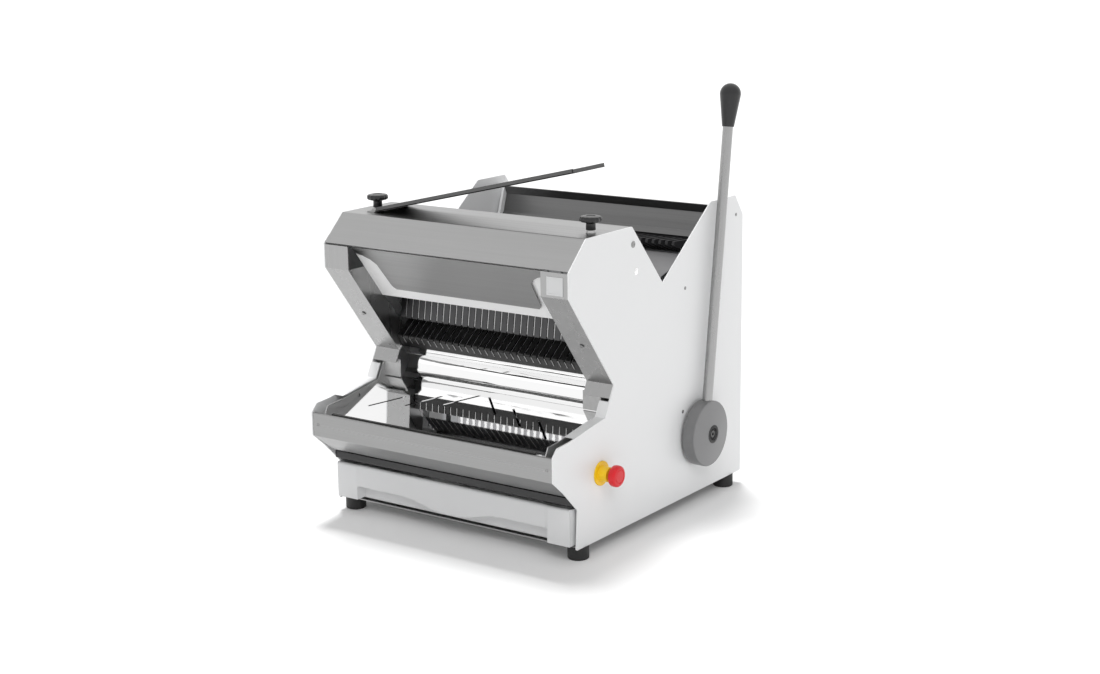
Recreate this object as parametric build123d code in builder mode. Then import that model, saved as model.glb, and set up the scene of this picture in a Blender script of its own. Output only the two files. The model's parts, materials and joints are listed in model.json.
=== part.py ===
from build123d import *
from math import atan2, cos, degrees, radians, sin, sqrt
import os

os.makedirs("parts", exist_ok=True)

# Bread slicer with a hand lever. A loaf lies in the V-shaped trough at the top. The lever swings a comb
# that pushes it down a slotted bed, through two sets of reciprocating blades, and out at the front.
# +X is the lever side, +Y the back, +Z up. Sizes in millimetres.

# Overall sizes
body_width = 570
nose_to_back = 661
foot_height = 25
sheet = 2
panel_thickness = 2.5
bend_radius = 3
running_gap = 0.3
fit_gap = 0.05
side_gap = 1

# Side view of the side panels, measured back from the nose and up from the floor
panel_front_y = 70
panel_back_y = nose_to_back
panel_back_top_z = 557
hump_z = 598
hump_back_y = 631
hood_top_z = 590
hood_brow_y = 109
hood_back_y = 257
hood_front_y = 54
hood_front_top_z = 538
post_top_z = 491
waist_y = 195
waist_z = 306
seam_y = 182
seam_z = 283
scoop_back_y = 165
scoop_back_z = 251
scoop_front_y = 134
scoop_front_z = 247
nose_rise_z = 234
nose_top_z = 231
nose_slope = 14
nose_bottom_z = 170
chin_y = 32
chin_z = 143
throat_y = 75
throat_z = 100
trough_y = 362
trough_z = 468
bed_angle = 36.7

# Blades and their two frames
blade_pitch = 15.5
blade_count = 28
blade_thickness = 0.7
blade_depth = 12
tooth_pitch = 12.5
tooth_depth = 2.4
tooth_count = 14
stroke = 30
frame_bar = 16
frame_depth = 22
frame_gap = 2
frame_half_width = 251
frame_column = 14
bed_to_upper_bar = 142
bed_to_lower_bar = 42
blade_line_behind_lip = 128.6
trough_behind_blades = 88.6

# Bed, chute and tray
bed_half_width = 223
slot_width = 3
slot_behind_blades = 16
cheek_top = 44
cheek_to_frame = 8
lip_drop = 30
lip_slot_drop = 17
chute_radius = 34
tray_angle = 16.2
tray_start_y = 10
tray_reference_y = 82
tray_reference_z = 219
tray_half_width = 259
tray_slot_width = 4.5
tray_slot_run = 53

# Lever, pusher and their shaft
pivot_below_bed = 333
shaft_radius = 10
hub_radius = 65
hub_thickness = 27
hub_cone = 6
lever_radius = 10
lever_lean = 7.6
lever_length = 681
handle_radius = 20.3
handle_length = 83
handle_foot_radius = 11.6
arm_lean = 17.6
arm_thickness = 6
arm_inner_x = 270
pusher_top = 446
pusher_bottom = 378
comb_bottom = 348
comb_top = 392
finger_length = 68
finger_thickness = 6

# Crank drive
crank_below_bed = 235
crank_radius = 10
eccentric_radius = 28
rod_thickness = 7
rod_end_below_bed = 112
rod_end_radius = 12
wrist_radius = 4
wrist_head_radius = 6
wrist_head = 1.5
crank_pulley_radius = 75
motor_pulley_radius = 30
belt_width = 14
belt_thickness = 7
pulley_x = -212
motor_y = 585
motor_z = 290
motor_radius = 60
motor_length = 190

# Hood furniture
knob_x = 250
knob_y = 175
knob_radius = 24
knob_height = 15
knob_hub_radius = 10.5
knob_hub_height = 14
stud_radius = 4
collar_height = 3
collar_radius = 7.5
flap_hinge_x = -226
flap_length = 479
flap_front_y = 134
flap_depth = 100
flap_raise = 13.1
flap_hole_radius = 4

# Front, drawer and small fittings
post_inner_x = 224.5
post_flange_depth = 46
hinge_y = 213
hinge_z = 432
baffle_foot_y = 152
baffle_foot_z = 427
deflector_foot_y = 129
deflector_foot_z = 447
deflector_top_half = 220
deflector_foot_half = 168
drawer_half_width = 277
drawer_back_y = 385
drawer_wall = 2.5
drawer_height = 70
drawer_front_y = 66
foot_radius = 20
foot_x = 268
foot_front_y = 100
foot_back_y = 621
estop_y = 150
estop_z = 151
estop_disc_radius = 23
estop_body_radius = 15
estop_head_radius = 20
estop_reach = 42
estop_stem_radius = 6
estop_barrel_radius = 11
estop_travel = 4
end_cap_reach = 6
gland_reach = 18

# Datum: the box round the whole object stands with the middle of its bottom at the origin
half_width = body_width / 2
inner_half = half_width - panel_thickness
mid_x = (end_cap_reach - estop_reach) / 2
nose_y = -(nose_to_back + gland_reach) / 2
floor_point = Vector(mid_x, nose_y, 0)
top = Plane(origin=floor_point)
side = Plane(origin=floor_point, x_dir=(0, 1, 0), z_dir=(1, 0, 0))
front = Plane(origin=floor_point, x_dir=(1, 0, 0), z_dir=(0, -1, 0))

# The bed slopes up to the back, and the blades stand square to it at blade_foot
bed_sin = sin(radians(bed_angle))
bed_cos = cos(radians(bed_angle))
blade_foot_y = trough_y - trough_behind_blades * bed_cos
blade_foot_z = trough_z - trough_behind_blades * bed_sin
blade_foot = floor_point + Vector(0, blade_foot_y, blade_foot_z)
blade_side = Plane(origin=blade_foot, x_dir=(0, bed_cos, bed_sin), z_dir=(1, 0, 0))
blade_face = Plane(origin=blade_foot, x_dir=(1, 0, 0), z_dir=(0, -bed_cos, -bed_sin))
bed_top = Plane(origin=blade_foot, x_dir=(1, 0, 0), z_dir=(0, -bed_sin, bed_cos))
blade_up = Vector(0, -bed_sin, bed_cos)
side_a = Plane(origin=blade_foot + blade_up * (stroke / 2), x_dir=blade_side.x_dir, z_dir=(1, 0, 0))
side_b = Plane(origin=blade_foot - blade_up * (stroke / 2), x_dir=blade_side.x_dir, z_dir=(1, 0, 0))
face_a = Plane(origin=side_a.origin, x_dir=(1, 0, 0), z_dir=blade_face.z_dir)
face_b = Plane(origin=side_b.origin, x_dir=(1, 0, 0), z_dir=blade_face.z_dir)

pivot = blade_foot - blade_up * pivot_below_bed
pivot_y = pivot.Y - nose_y
pivot_z = pivot.Z
arm_sin = sin(radians(arm_lean))
arm_cos = cos(radians(arm_lean))
arm_side = Plane(origin=pivot, x_dir=(0, arm_cos, -arm_sin), z_dir=(1, 0, 0))
crank = blade_foot - blade_up * crank_below_bed
crank_y = crank.Y - nose_y
crank_z = crank.Z
crank_side = Plane(origin=crank, x_dir=blade_side.x_dir, z_dir=(1, 0, 0))


def bed_point(behind, above):
    """A point of the blade frame, behind the blades and above the bed, in the side view."""
    return (
        blade_foot_y + behind * bed_cos - above * bed_sin,
        blade_foot_z + behind * bed_sin + above * bed_cos,
    )


def folded(points, thickness=sheet, bend=bend_radius):
    """The section of a folded sheet whose middle line runs through the points."""
    with BuildLine() as middle:
        FilletPolyline(*points, radius=bend)
    trace(middle.line, line_width=thickness)


def across(half):
    """Extrude to both sides of the machine's middle plane."""
    extrude(amount=half, both=True)


def save(piece, label):
    piece.part.label = label
    export_step(piece.part, f"parts/{label}.step")


# ---------------------------------------------------------------- layout of the blade frames
column_x = frame_half_width - frame_column / 2
boss_radius = 8
boss_web = 6
rod_x = 260
guide_rod_radius = 5
bush_wall = 1.5
boss_length = 20
boss_heights = [128, -36]
upper_bar_middle = bed_to_upper_bar + frame_bar / 2
lower_bar_middle = -bed_to_lower_bar - frame_bar / 2
near_side = blade_depth / 2 + frame_gap
bar_middle = near_side + frame_depth / 2
wrist_a_x = blade_pitch * 7.5
wrist_b_x = blade_pitch * 10.5
ear_thickness = 4
ear_step = 16
ear_reach = -7
ear_foot = rod_end_below_bed + 13

# ---------------------------------------------------------------- side panels
panel_outline = [
    (panel_front_y, foot_height),
    (panel_back_y, foot_height),
    (panel_back_y, panel_back_top_z),
    (hump_back_y, hump_z),
    (trough_y + (hump_z - trough_z) * bed_cos / bed_sin, hump_z),
    (trough_y, trough_z),
    (hood_back_y, hood_top_z),
    (hood_brow_y, hood_top_z),
    (hood_front_y, hood_front_top_z),
    (hood_front_y, post_top_z),
    (waist_y, waist_z),
    (seam_y, seam_z),
    (scoop_back_y, scoop_back_z),
    (scoop_front_y, scoop_front_z),
    (hood_front_y, nose_rise_z),
    (nose_slope, nose_top_z),
    (0, nose_top_z - nose_slope),
    (0, nose_bottom_z),
    (chin_y, chin_z),
    (throat_y, throat_z),
]
panel_corner = 3
flange_width = 20
nose_flange_run = waist_y - flange_width
nose_flange_height = seam_z - nose_top_z - panel_thickness * 4
bearing_seat_radius = 17
panel_screws = [(260, 557), (442, 444), (634, 559), (435, 201), (270, 505)]


def side_panel(hand):
    """One side, with the edges turned in along the nose and for the back cover."""
    inner_face = side.offset(hand * inner_half)
    with BuildPart() as panel:
        with BuildSketch(inner_face):
            with BuildLine():
                Polyline(*panel_outline, close=True)
            make_face()
            fillet(vertices(), radius=panel_corner)
            with Locations((pivot_y, pivot_z)):
                Circle(bearing_seat_radius, mode=Mode.SUBTRACT)
        extrude(amount=hand * panel_thickness)
        with BuildSketch(inner_face):
            with BuildLine():
                Polyline(*panel_outline, close=True)
            make_face()
            offset(amount=-panel_thickness, kind=Kind.INTERSECTION, mode=Mode.SUBTRACT)
            with Locations((waist_y / 2, (nose_top_z + seam_z) / 2)):
                Rectangle(nose_flange_run, nose_flange_height, mode=Mode.INTERSECT)
        extrude(amount=-hand * flange_width)
        with BuildSketch(inner_face):
            with Locations((panel_back_y - panel_thickness / 2, panel_back_top_z / 2 + foot_height)):
                Rectangle(panel_thickness, panel_back_top_z - foot_height * 3)
        extrude(amount=-hand * flange_width)
        if hand > 0:
            # The hole for the stop button
            with BuildSketch(side.offset(half_width)):
                with Locations((estop_y, estop_z)):
                    Circle(estop_barrel_radius)
            extrude(amount=-panel_thickness * 2, mode=Mode.SUBTRACT)
    return panel


side_panel_right = side_panel(1)
save(side_panel_right, "side_panel_right")

side_panel_left = side_panel(-1)
save(side_panel_left, "side_panel_left")

# ---------------------------------------------------------------- base and back
foot_spots = [
    (-foot_x, foot_front_y),
    (foot_x, foot_front_y),
    (-foot_x, foot_back_y),
    (foot_x, foot_back_y),
]
foot_screw_radius = 4
foot_screw_head = 7
foot_screw_depth = 12
pan_lip = 26
pan_setback = 12
with BuildPart() as base_pan:
    with BuildSketch(side):
        folded(
            [
                (panel_front_y + pan_setback, foot_height + sheet / 2),
                (panel_back_y - panel_thickness - sheet / 2, foot_height + sheet / 2),
                (panel_back_y - panel_thickness - sheet / 2, foot_height + pan_lip),
            ]
        )
    across(inner_half)
    with BuildSketch(top.offset(foot_height)):
        with Locations(*foot_spots):
            Circle(foot_screw_radius)
    extrude(amount=sheet, mode=Mode.SUBTRACT)
save(base_pan, "base_pan")

gland_x = 120
gland_z = 82
gland_radius = 9
gland_nut = 13
gland_inside = 16
back_sheet_y = panel_back_y - panel_thickness - sheet
louvre_count = 6
louvre_length = 120
louvre_height = 5
louvre_pitch = 14
louvre_middle_z = 218.5
back_cover_foot = foot_height + pan_lip + side_gap
back_cover_top = panel_back_top_z - 17
back_cover_lip = 26
with BuildPart() as back_cover:
    with BuildSketch(side):
        folded(
            [
                (panel_back_y - panel_thickness - sheet / 2, back_cover_foot),
                (panel_back_y - panel_thickness - sheet / 2, back_cover_top),
                (panel_back_y - back_cover_lip, back_cover_top),
            ]
        )
    across(inner_half - side_gap)
    with BuildSketch(front.offset(-panel_back_y)):
        for column in (-1, 1):
            with Locations((column * half_width / 2, louvre_middle_z)):
                with GridLocations(1, louvre_pitch, 1, louvre_count):
                    SlotOverall(louvre_length, louvre_height)
        with Locations((gland_x, gland_z)):
            Circle(gland_radius)
    extrude(amount=panel_thickness * 4, mode=Mode.SUBTRACT)
save(back_cover, "back_cover")

# ---------------------------------------------------------------- hood
hood_lip = 44
notch_run = sqrt((trough_y - hood_back_y) ** 2 + (hood_top_z - trough_z) ** 2)
lip_back = hood_lip * (trough_y - hood_back_y) / notch_run
lip_down = hood_lip * (hood_top_z - trough_z) / notch_run
with BuildPart() as hood:
    with BuildSketch(side):
        folded(
            [
                (hood_front_y + sheet / 2, hood_front_top_z + sheet / 2),
                (hood_brow_y + sheet / 2, hood_top_z - sheet / 2),
                (hood_back_y - sheet / 2, hood_top_z - sheet / 2),
                (hood_back_y - sheet + lip_back, hood_top_z - sheet - lip_down),
            ]
        )
    across(inner_half - fit_gap)
    with BuildSketch(top.offset(hood_top_z)):
        with Locations((-knob_x, knob_y), (knob_x, knob_y)):
            Circle(stud_radius + fit_gap)
    extrude(amount=-sheet * 3, mode=Mode.SUBTRACT)
save(hood, "hood")

# The deflector is fixed under the hood's slope by its folded top edge, and hangs parallel to the posts
slope_run = sqrt((hood_brow_y - hood_front_y) ** 2 + (hood_top_z - hood_front_top_z - sheet) ** 2)
slope_cos = (hood_brow_y - hood_front_y) / slope_run
slope_sin = (hood_top_z - hood_front_top_z - sheet) / slope_run
fold_y = hood_front_y + sheet / 2 + sheet * (slope_sin + slope_cos)
fold_z = hood_front_top_z + sheet / 2 - sheet * (slope_cos - slope_sin)
fold_length = 22
deflector_run = sqrt((deflector_foot_y - fold_y) ** 2 + (fold_z - deflector_foot_z) ** 2)
deflector_cos = (deflector_foot_y - fold_y) / deflector_run
deflector_sin = (fold_z - deflector_foot_z) / deflector_run
deflector_plane = Plane(
    origin=floor_point + Vector(0, fold_y, fold_z),
    x_dir=(1, 0, 0),
    z_dir=(0, -deflector_sin, -deflector_cos),
)
deflector_corner = 14
shoulder_drop = 12
shoulder_foot = 22
shoulder_width = 18
with BuildPart() as deflector:
    with BuildSketch(deflector_plane):
        with BuildLine():
            Polyline(
                (-deflector_top_half, 0),
                (deflector_top_half, 0),
                (deflector_top_half, -shoulder_drop),
                (deflector_top_half - shoulder_width, -shoulder_foot),
                (deflector_foot_half, -deflector_run),
                (-deflector_foot_half, -deflector_run),
                (-deflector_top_half + shoulder_width, -shoulder_foot),
                (-deflector_top_half, -shoulder_drop),
                close=True,
            )
        make_face()
        fillet(vertices().group_by(Axis.Y)[0], radius=deflector_corner)
    extrude(amount=sheet / 2, both=True)
    with BuildSketch(side):
        with BuildLine() as fold:
            Line((fold_y, fold_z), (fold_y + fold_length * slope_cos, fold_z + fold_length * slope_sin))
        trace(fold.line, line_width=sheet)
    across(deflector_top_half)
save(deflector, "deflector")

# The white baffle behind it closes the hood down to the loaf's way out
baffle_top_y = hood_front_y + 12
baffle_top_z = hood_front_top_z - 2
baffle_hem = 14
with BuildPart() as baffle:
    with BuildSketch(side):
        folded(
            [
                (baffle_top_y + baffle_hem, baffle_top_z),
                (baffle_top_y, baffle_top_z),
                (baffle_foot_y, baffle_foot_z),
            ]
        )
    across(post_inner_x)
save(baffle, "baffle")

# ---------------------------------------------------------------- front posts
post_run = sqrt((waist_y - hood_front_y) ** 2 + (post_top_z - waist_z) ** 2)
post_cos = (waist_y - hood_front_y) / post_run
post_sin = (post_top_z - waist_z) / post_run
post_outer_x = inner_half - fit_gap
with BuildPart() as front_posts:
    with BuildSketch(side.offset(post_inner_x)):
        folded(
            [
                (hood_front_y + sheet / 2, hood_front_top_z - sheet),
                (hood_front_y + sheet / 2, post_top_z),
                (waist_y + sheet / 2, waist_z + sheet / 2),
                (seam_y + sheet, seam_z),
            ]
        )
    extrude(amount=post_outer_x - post_inner_x)
    # The flange beside the way out
    with BuildSketch(side.offset(post_inner_x)):
        with BuildLine():
            Polyline(
                (hood_front_y + sheet / 2, post_top_z),
                (waist_y + sheet / 2, waist_z),
                (waist_y + post_flange_depth * post_sin, waist_z + post_flange_depth * post_cos),
                (hood_front_y + post_flange_depth, post_top_z),
                close=True,
            )
        make_face()
    extrude(amount=sheet)
    mirror(about=side)
save(front_posts, "front_posts")

# ---------------------------------------------------------------- bed, chute, tray, trim
lip_behind = -blade_line_behind_lip
bed_back_behind = trough_behind_blades
slot_count = blade_count
with BuildPart() as bed:
    with BuildSketch(blade_side):
        folded(
            [
                (bed_back_behind, -sheet / 2),
                (lip_behind + sheet / 2, -sheet / 2),
                (lip_behind + sheet / 2, -lip_drop),
            ]
        )
    across(bed_half_width)
    with BuildSketch(bed_top.offset(sheet)):
        slot_run = slot_behind_blades - lip_behind + sheet
        with Locations((0, slot_behind_blades - slot_run / 2)):
            with GridLocations(blade_pitch, 1, slot_count, 1):
                Rectangle(slot_width, slot_run)
    extrude(amount=-sheet - lip_slot_drop, mode=Mode.SUBTRACT)
save(bed, "bed")

# Short cheeks behind the posts close the sides of the way out and carry the bed
cheek_inner_x = bed_half_width + running_gap
cheek_front = lip_behind + post_flange_depth + side_gap * 2
cheek_back = -near_side - frame_depth - cheek_to_frame
with BuildPart() as cheeks:
    with BuildSketch(blade_side.offset(cheek_inner_x)):
        with BuildLine():
            Polyline(
                (cheek_front, -lip_drop),
                (cheek_back, -lip_drop),
                (cheek_back, cheek_top),
                (cheek_front, cheek_top),
                close=True,
            )
        make_face()
    extrude(amount=sheet)
    with BuildSketch(blade_side.offset(cheek_inner_x)):
        with Locations(((cheek_front + cheek_back) / 2, -lip_drop + sheet / 2)):
            Rectangle(cheek_back - cheek_front, sheet)
    extrude(amount=inner_half - cheek_inner_x)
    mirror(about=side)
save(cheeks, "cheeks")

# The chute rolls from under the bed's lip into the plane of the tray
tray_cos = cos(radians(tray_angle))
tray_sin = sin(radians(tray_angle))
chute_start = bed_point(lip_behind + sheet / 2, -lip_drop - side_gap / 2)
start_above_tray = (
    (chute_start[1] - tray_reference_z) * tray_cos - (chute_start[0] - tray_reference_y) * tray_sin
)
fall_per_run = bed_sin * tray_sin + bed_cos * tray_cos
centre_fall = bed_cos * tray_sin - bed_sin * tray_cos
chute_straight = (start_above_tray - chute_radius * (1 - centre_fall)) / fall_per_run
roll_start = (
    chute_start[0] + chute_straight * bed_sin,
    chute_start[1] - chute_straight * bed_cos,
)
roll_centre = (roll_start[0] - chute_radius * bed_cos, roll_start[1] - chute_radius * bed_sin)
roll_end = (roll_centre[0] + chute_radius * tray_sin, roll_centre[1] - chute_radius * tray_cos)
roll_middle = radians((bed_angle + tray_angle) / 2)
roll_back = (
    roll_centre[0] + chute_radius * cos(roll_middle),
    roll_centre[1] - chute_radius * sin(roll_middle),
)
with BuildPart() as chute:
    with BuildSketch(side):
        with BuildLine():
            Line(chute_start, roll_start)
            ThreePointArc(roll_start, roll_back, roll_end)
        trace(line_width=sheet)
    across(bed_half_width)
save(chute, "chute")


def tray_z(depth):
    """Height of the tray's middle line at a distance behind the nose."""
    return tray_reference_z + (depth - tray_reference_y) * tray_sin / tray_cos


tray_end_y = roll_end[0] - side_gap / 2
tray_plane = Plane(
    origin=floor_point + Vector(0, tray_reference_y, tray_reference_z),
    x_dir=(1, 0, 0),
    z_dir=(0, -tray_sin, tray_cos),
)
chevrons = [(185, 27), (111, 50), (37, 74)]
tray_hem = 14
with BuildPart() as tray:
    with BuildSketch(side):
        folded(
            [
                (tray_start_y, tray_z(tray_start_y) - tray_hem),
                (tray_start_y, tray_z(tray_start_y)),
                (tray_end_y, tray_z(tray_end_y)),
            ]
        )
    across(tray_half_width)
    with BuildSketch(tray_plane.offset(sheet)):
        for slot_x, slot_y in chevrons:
            for hand in (-1, 1):
                with Locations(Location((hand * slot_x, slot_y, 0), hand * 45 + 90)):
                    SlotOverall(tray_slot_run * sqrt(2), tray_slot_width)
    extrude(amount=-sheet * 2, mode=Mode.SUBTRACT)
save(tray, "tray")

trim_top_z = 214
trim_front_y = 2
trim_foot_y = 49
trim_foot_z = 132
trim_back_y = 7
trim_hem = 9
trim_foot_hem = 8
trim_bend = 1.2
with BuildPart() as front_trim:
    with BuildSketch(side):
        folded(
            [
                (trim_back_y, trim_top_z - trim_hem),
                (trim_back_y, trim_top_z),
                (trim_front_y, trim_top_z),
                (trim_front_y, nose_bottom_z),
                (trim_foot_y, trim_foot_z),
                (trim_foot_y + trim_foot_hem, trim_foot_z + trim_foot_hem),
            ],
            bend=trim_bend,
        )
    across(inner_half - fit_gap)
save(front_trim, "front_trim")

# Steel liners on the inside of the nose. A sheet turned in from each closes the gap beside the chute
liner_inner_x = tray_half_width + running_gap
liner_front_y = 10
liner_back_y = 222
liner_below_tray = 8
liner_edge = [(20, 228), (56, 231), (136, 243), (170, 249), (188, 281)]
liner_front_z = 209
liner_back_z = 293
closing_y = seam_y + 8
closing_top_z = seam_z + 6
closing_foot_z = tray_z(closing_y) + sheet * 1.5
closing_inner_x = bed_half_width - 4
with BuildPart() as nose_liners:
    with BuildSketch(side.offset(liner_inner_x)):
        with BuildLine():
            Polyline(
                (liner_front_y, liner_front_z),
                *liner_edge,
                (liner_back_y, liner_back_z),
                (liner_back_y, tray_z(liner_back_y) - liner_below_tray),
                (liner_front_y, tray_z(liner_front_y) - liner_below_tray),
                close=True,
            )
        make_face()
    extrude(amount=sheet)
    with BuildSketch(side.offset(closing_inner_x)):
        with Locations((closing_y + sheet / 2, (closing_foot_z + closing_top_z) / 2)):
            Rectangle(sheet, closing_top_z - closing_foot_z)
    extrude(amount=liner_inner_x - closing_inner_x)
    mirror(about=side)
save(nose_liners, "nose_liners")

crossbar_front_y = 62
crossbar_back_y = 104
crossbar_z = 110
crossbar_rise = 14
with BuildPart() as front_crossbar:
    with BuildSketch(side):
        folded(
            [
                (crossbar_front_y, crossbar_z + crossbar_rise),
                (crossbar_front_y, crossbar_z),
                (crossbar_back_y, crossbar_z),
                (crossbar_back_y, crossbar_z + crossbar_rise),
            ]
        )
    across(inner_half - fit_gap)
save(front_crossbar, "front_crossbar")

# ---------------------------------------------------------------- blade frames and blades
def blade_frame(side_plane, face_plane, hand, wrist_x):
    """Two bars, two columns, guide bosses, and the ears for the connecting rods."""
    with BuildPart() as frame:
        for height in (upper_bar_middle, lower_bar_middle):
            with BuildSketch(side_plane):
                with Locations((hand * bar_middle, height)):
                    Rectangle(frame_depth, frame_bar)
            extrude(amount=frame_half_width, both=True)
        with BuildSketch(face_plane.offset(-hand * bar_middle)):
            column_middle = (upper_bar_middle + lower_bar_middle) / 2
            with Locations((-column_x, column_middle), (column_x, column_middle)):
                Rectangle(frame_column, upper_bar_middle - lower_bar_middle)
        extrude(amount=frame_depth / 2, both=True)
        for height in boss_heights:
            boss_plane = Plane(
                origin=face_plane.origin + blade_up * height - face_plane.z_dir * (hand * bar_middle),
                x_dir=(1, 0, 0),
                z_dir=blade_up,
            )
            with BuildSketch(boss_plane):
                with Locations((-rod_x, 0), (rod_x, 0)):
                    Circle(boss_radius)
                with Locations((boss_web - rod_x, 0), (rod_x - boss_web, 0)):
                    Rectangle(boss_web * 2, boss_radius * 2)
            extrude(amount=boss_length / 2, both=True)
            with BuildSketch(boss_plane):
                with Locations((-rod_x, 0), (rod_x, 0)):
                    Circle(guide_rod_radius + fit_gap + bush_wall)
            extrude(amount=boss_length, both=True, mode=Mode.SUBTRACT)
        bar_foot_height = lower_bar_middle - frame_bar / 2
        for middle in (-wrist_x, wrist_x):
            for hand_x in (-1, 1):
                with BuildSketch(side_plane.offset(middle + hand_x * blade_pitch / 2)):
                    with BuildLine():
                        Polyline(
                            (hand * near_side, lower_bar_middle),
                            (hand * near_side, bar_foot_height - ear_step),
                            (hand * ear_reach, bar_foot_height - ear_step),
                            (hand * ear_reach, -ear_foot),
                            (hand * near_side, -ear_foot),
                            (hand * (near_side + frame_depth), bar_foot_height),
                            (hand * (near_side + frame_depth), lower_bar_middle),
                            close=True,
                        )
                    make_face()
                extrude(amount=ear_thickness / 2, both=True)
                # Short pins in the ears. The pivot between them and the rod's eye is left open
                ear_inside = middle + hand_x * (blade_pitch / 2 - ear_thickness / 2)
                with BuildSketch(side_plane.offset(ear_inside)):
                    with Locations((0, -rod_end_below_bed)):
                        Circle(wrist_head_radius)
                extrude(amount=hand_x * (ear_thickness + wrist_head))
    return frame


blade_frame_a = blade_frame(side_a, face_a, 1, wrist_a_x)
save(blade_frame_a, "blade_frame_a")

blade_frame_b = blade_frame(side_b, face_b, -1, wrist_b_x)
save(blade_frame_b, "blade_frame_b")


def frame_bushes(face_plane, hand):
    """Bronze bushes in the frame's four bosses."""
    with BuildPart() as bushes:
        for height in boss_heights:
            bush_plane = Plane(
                origin=face_plane.origin + blade_up * height - face_plane.z_dir * (hand * bar_middle),
                x_dir=(1, 0, 0),
                z_dir=blade_up,
            )
            with BuildSketch(bush_plane):
                with Locations((-rod_x, 0), (rod_x, 0)):
                    Circle(guide_rod_radius + fit_gap + bush_wall)
                    Circle(guide_rod_radius + fit_gap, mode=Mode.SUBTRACT)
            extrude(amount=boss_length / 2 + side_gap, both=True)
    return bushes


bushes_a = frame_bushes(face_a, 1)
save(bushes_a, "bushes_a")

bushes_b = frame_bushes(face_b, -1)
save(bushes_b, "bushes_b")

hook_clearance = 0.2
hook_wall = 3.4
hook_inside = near_side + frame_depth + hook_clearance
hook_reach = hook_inside + hook_wall
hook_web = 7
hook_lip = 9
hook_thickness = 1
bar_top = bed_to_upper_bar + frame_bar
bar_foot = -bed_to_lower_bar - frame_bar
first_tooth = -28


def blade_outline():
    """A straight blade that reaches past both bars. Its teeth face the loaf."""
    back = -blade_depth / 2
    edge = blade_depth / 2
    outline = [(edge - tooth_depth, first_tooth - tooth_pitch / 2)]
    for number in range(tooth_count):
        foot = first_tooth + number * tooth_pitch
        outline.append((edge - tooth_depth, foot))
        outline.append((edge, foot + tooth_pitch / 2))
    outline.append((edge - tooth_depth, first_tooth + tooth_count * tooth_pitch))
    outline.append((edge, bar_top + hook_web))
    outline.append((back, bar_top + hook_web))
    outline.append((back, bar_foot - hook_web))
    outline.append((edge, bar_foot - hook_web))
    return outline


def hook_outline(hand, bar_end, outward):
    """A plate on the blade's end that hooks over the outer side of the frame's bar."""
    return [
        (-hand * blade_depth / 2, bar_end),
        (-hand * blade_depth / 2, bar_end + outward * hook_web),
        (hand * hook_reach, bar_end + outward * hook_web),
        (hand * hook_reach, bar_end - outward * hook_lip),
        (hand * hook_inside, bar_end - outward * hook_lip),
        (hand * hook_inside, bar_end),
    ]


def blade_set(side_plane, hand, first):
    """Every second blade of the row, hung on one frame by a hook plate at each end."""
    with BuildPart() as blades:
        for number in range(first, blade_count, 2):
            blade_x = (number - (blade_count - 1) / 2) * blade_pitch
            with BuildSketch(side_plane.offset(blade_x)):
                with BuildLine():
                    Polyline(*blade_outline(), close=True)
                make_face()
            extrude(amount=blade_thickness / 2, both=True)
            for bar_end, outward in ((bar_top, 1), (bar_foot, -1)):
                with BuildSketch(side_plane.offset(blade_x + blade_thickness / 2 + fit_gap)):
                    with BuildLine():
                        Polyline(*hook_outline(hand, bar_end, outward), close=True)
                    make_face()
                extrude(amount=hook_thickness)
    return blades


blades_a = blade_set(side_a, 1, 0)
save(blades_a, "blades_a")

blades_b = blade_set(side_b, -1, 1)
save(blades_b, "blades_b")

# ---------------------------------------------------------------- guides of the blade frames
guide_foot = -96
guide_top = 176
block_length = 15
rod_rise = (guide_top + guide_foot) / 2
with BuildPart() as guide_rods:
    for behind in (-bar_middle, bar_middle):
        rod_plane = Plane(
            origin=blade_foot + blade_up * rod_rise + Vector(0, bed_cos, bed_sin) * behind,
            x_dir=(1, 0, 0),
            z_dir=blade_up,
        )
        with BuildSketch(rod_plane):
            with Locations((-rod_x, 0), (rod_x, 0)):
                Circle(guide_rod_radius)
        extrude(amount=(guide_top - guide_foot) / 2, both=True)
save(guide_rods, "guide_rods")

block_outer_x = rod_x + boss_radius
block_edge = 3
block_half = bar_middle + boss_radius + block_edge
with BuildPart() as guide_blocks:
    for height in (guide_foot, guide_top - block_length):
        block_plane = Plane(origin=blade_foot + blade_up * height, x_dir=(1, 0, 0), z_dir=blade_up)
        with BuildSketch(block_plane):
            for hand in (-1, 1):
                with Locations((hand * rod_x, 0)):
                    Rectangle(boss_radius * 2, block_half * 2)
                # In front, where the pusher's arms don't pass, the block reaches the panel
                with Locations((hand * (block_outer_x + inner_half) / 2, -block_half / 2)):
                    Rectangle(inner_half - block_outer_x, block_half)
            for hand in (-1, 1):
                for behind in (-bar_middle, bar_middle):
                    with Locations((hand * rod_x, behind)):
                        Circle(guide_rod_radius, mode=Mode.SUBTRACT)
        extrude(amount=block_length)
save(guide_blocks, "guide_blocks")

# ---------------------------------------------------------------- crank drive
big_end_wall = 8
rod_neck = 14
eccentric_width = 10
crank_end_x = 198
crank_pulley_end = 28
throw = stroke / 2
with BuildPart() as crankshaft:
    with BuildSketch(crank_side.offset(-crank_end_x - crank_pulley_end)):
        Circle(crank_radius)
    extrude(amount=crank_end_x * 2 + crank_pulley_end)
    for middle, hand in ((wrist_a_x, 1), (wrist_b_x, -1)):
        for hand_x in (-1, 1):
            with BuildSketch(crank_side.offset(hand_x * middle)):
                with Locations((0, hand * throw)):
                    Circle(eccentric_radius)
            extrude(amount=eccentric_width / 2, both=True)
save(crankshaft, "crankshaft")


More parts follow.
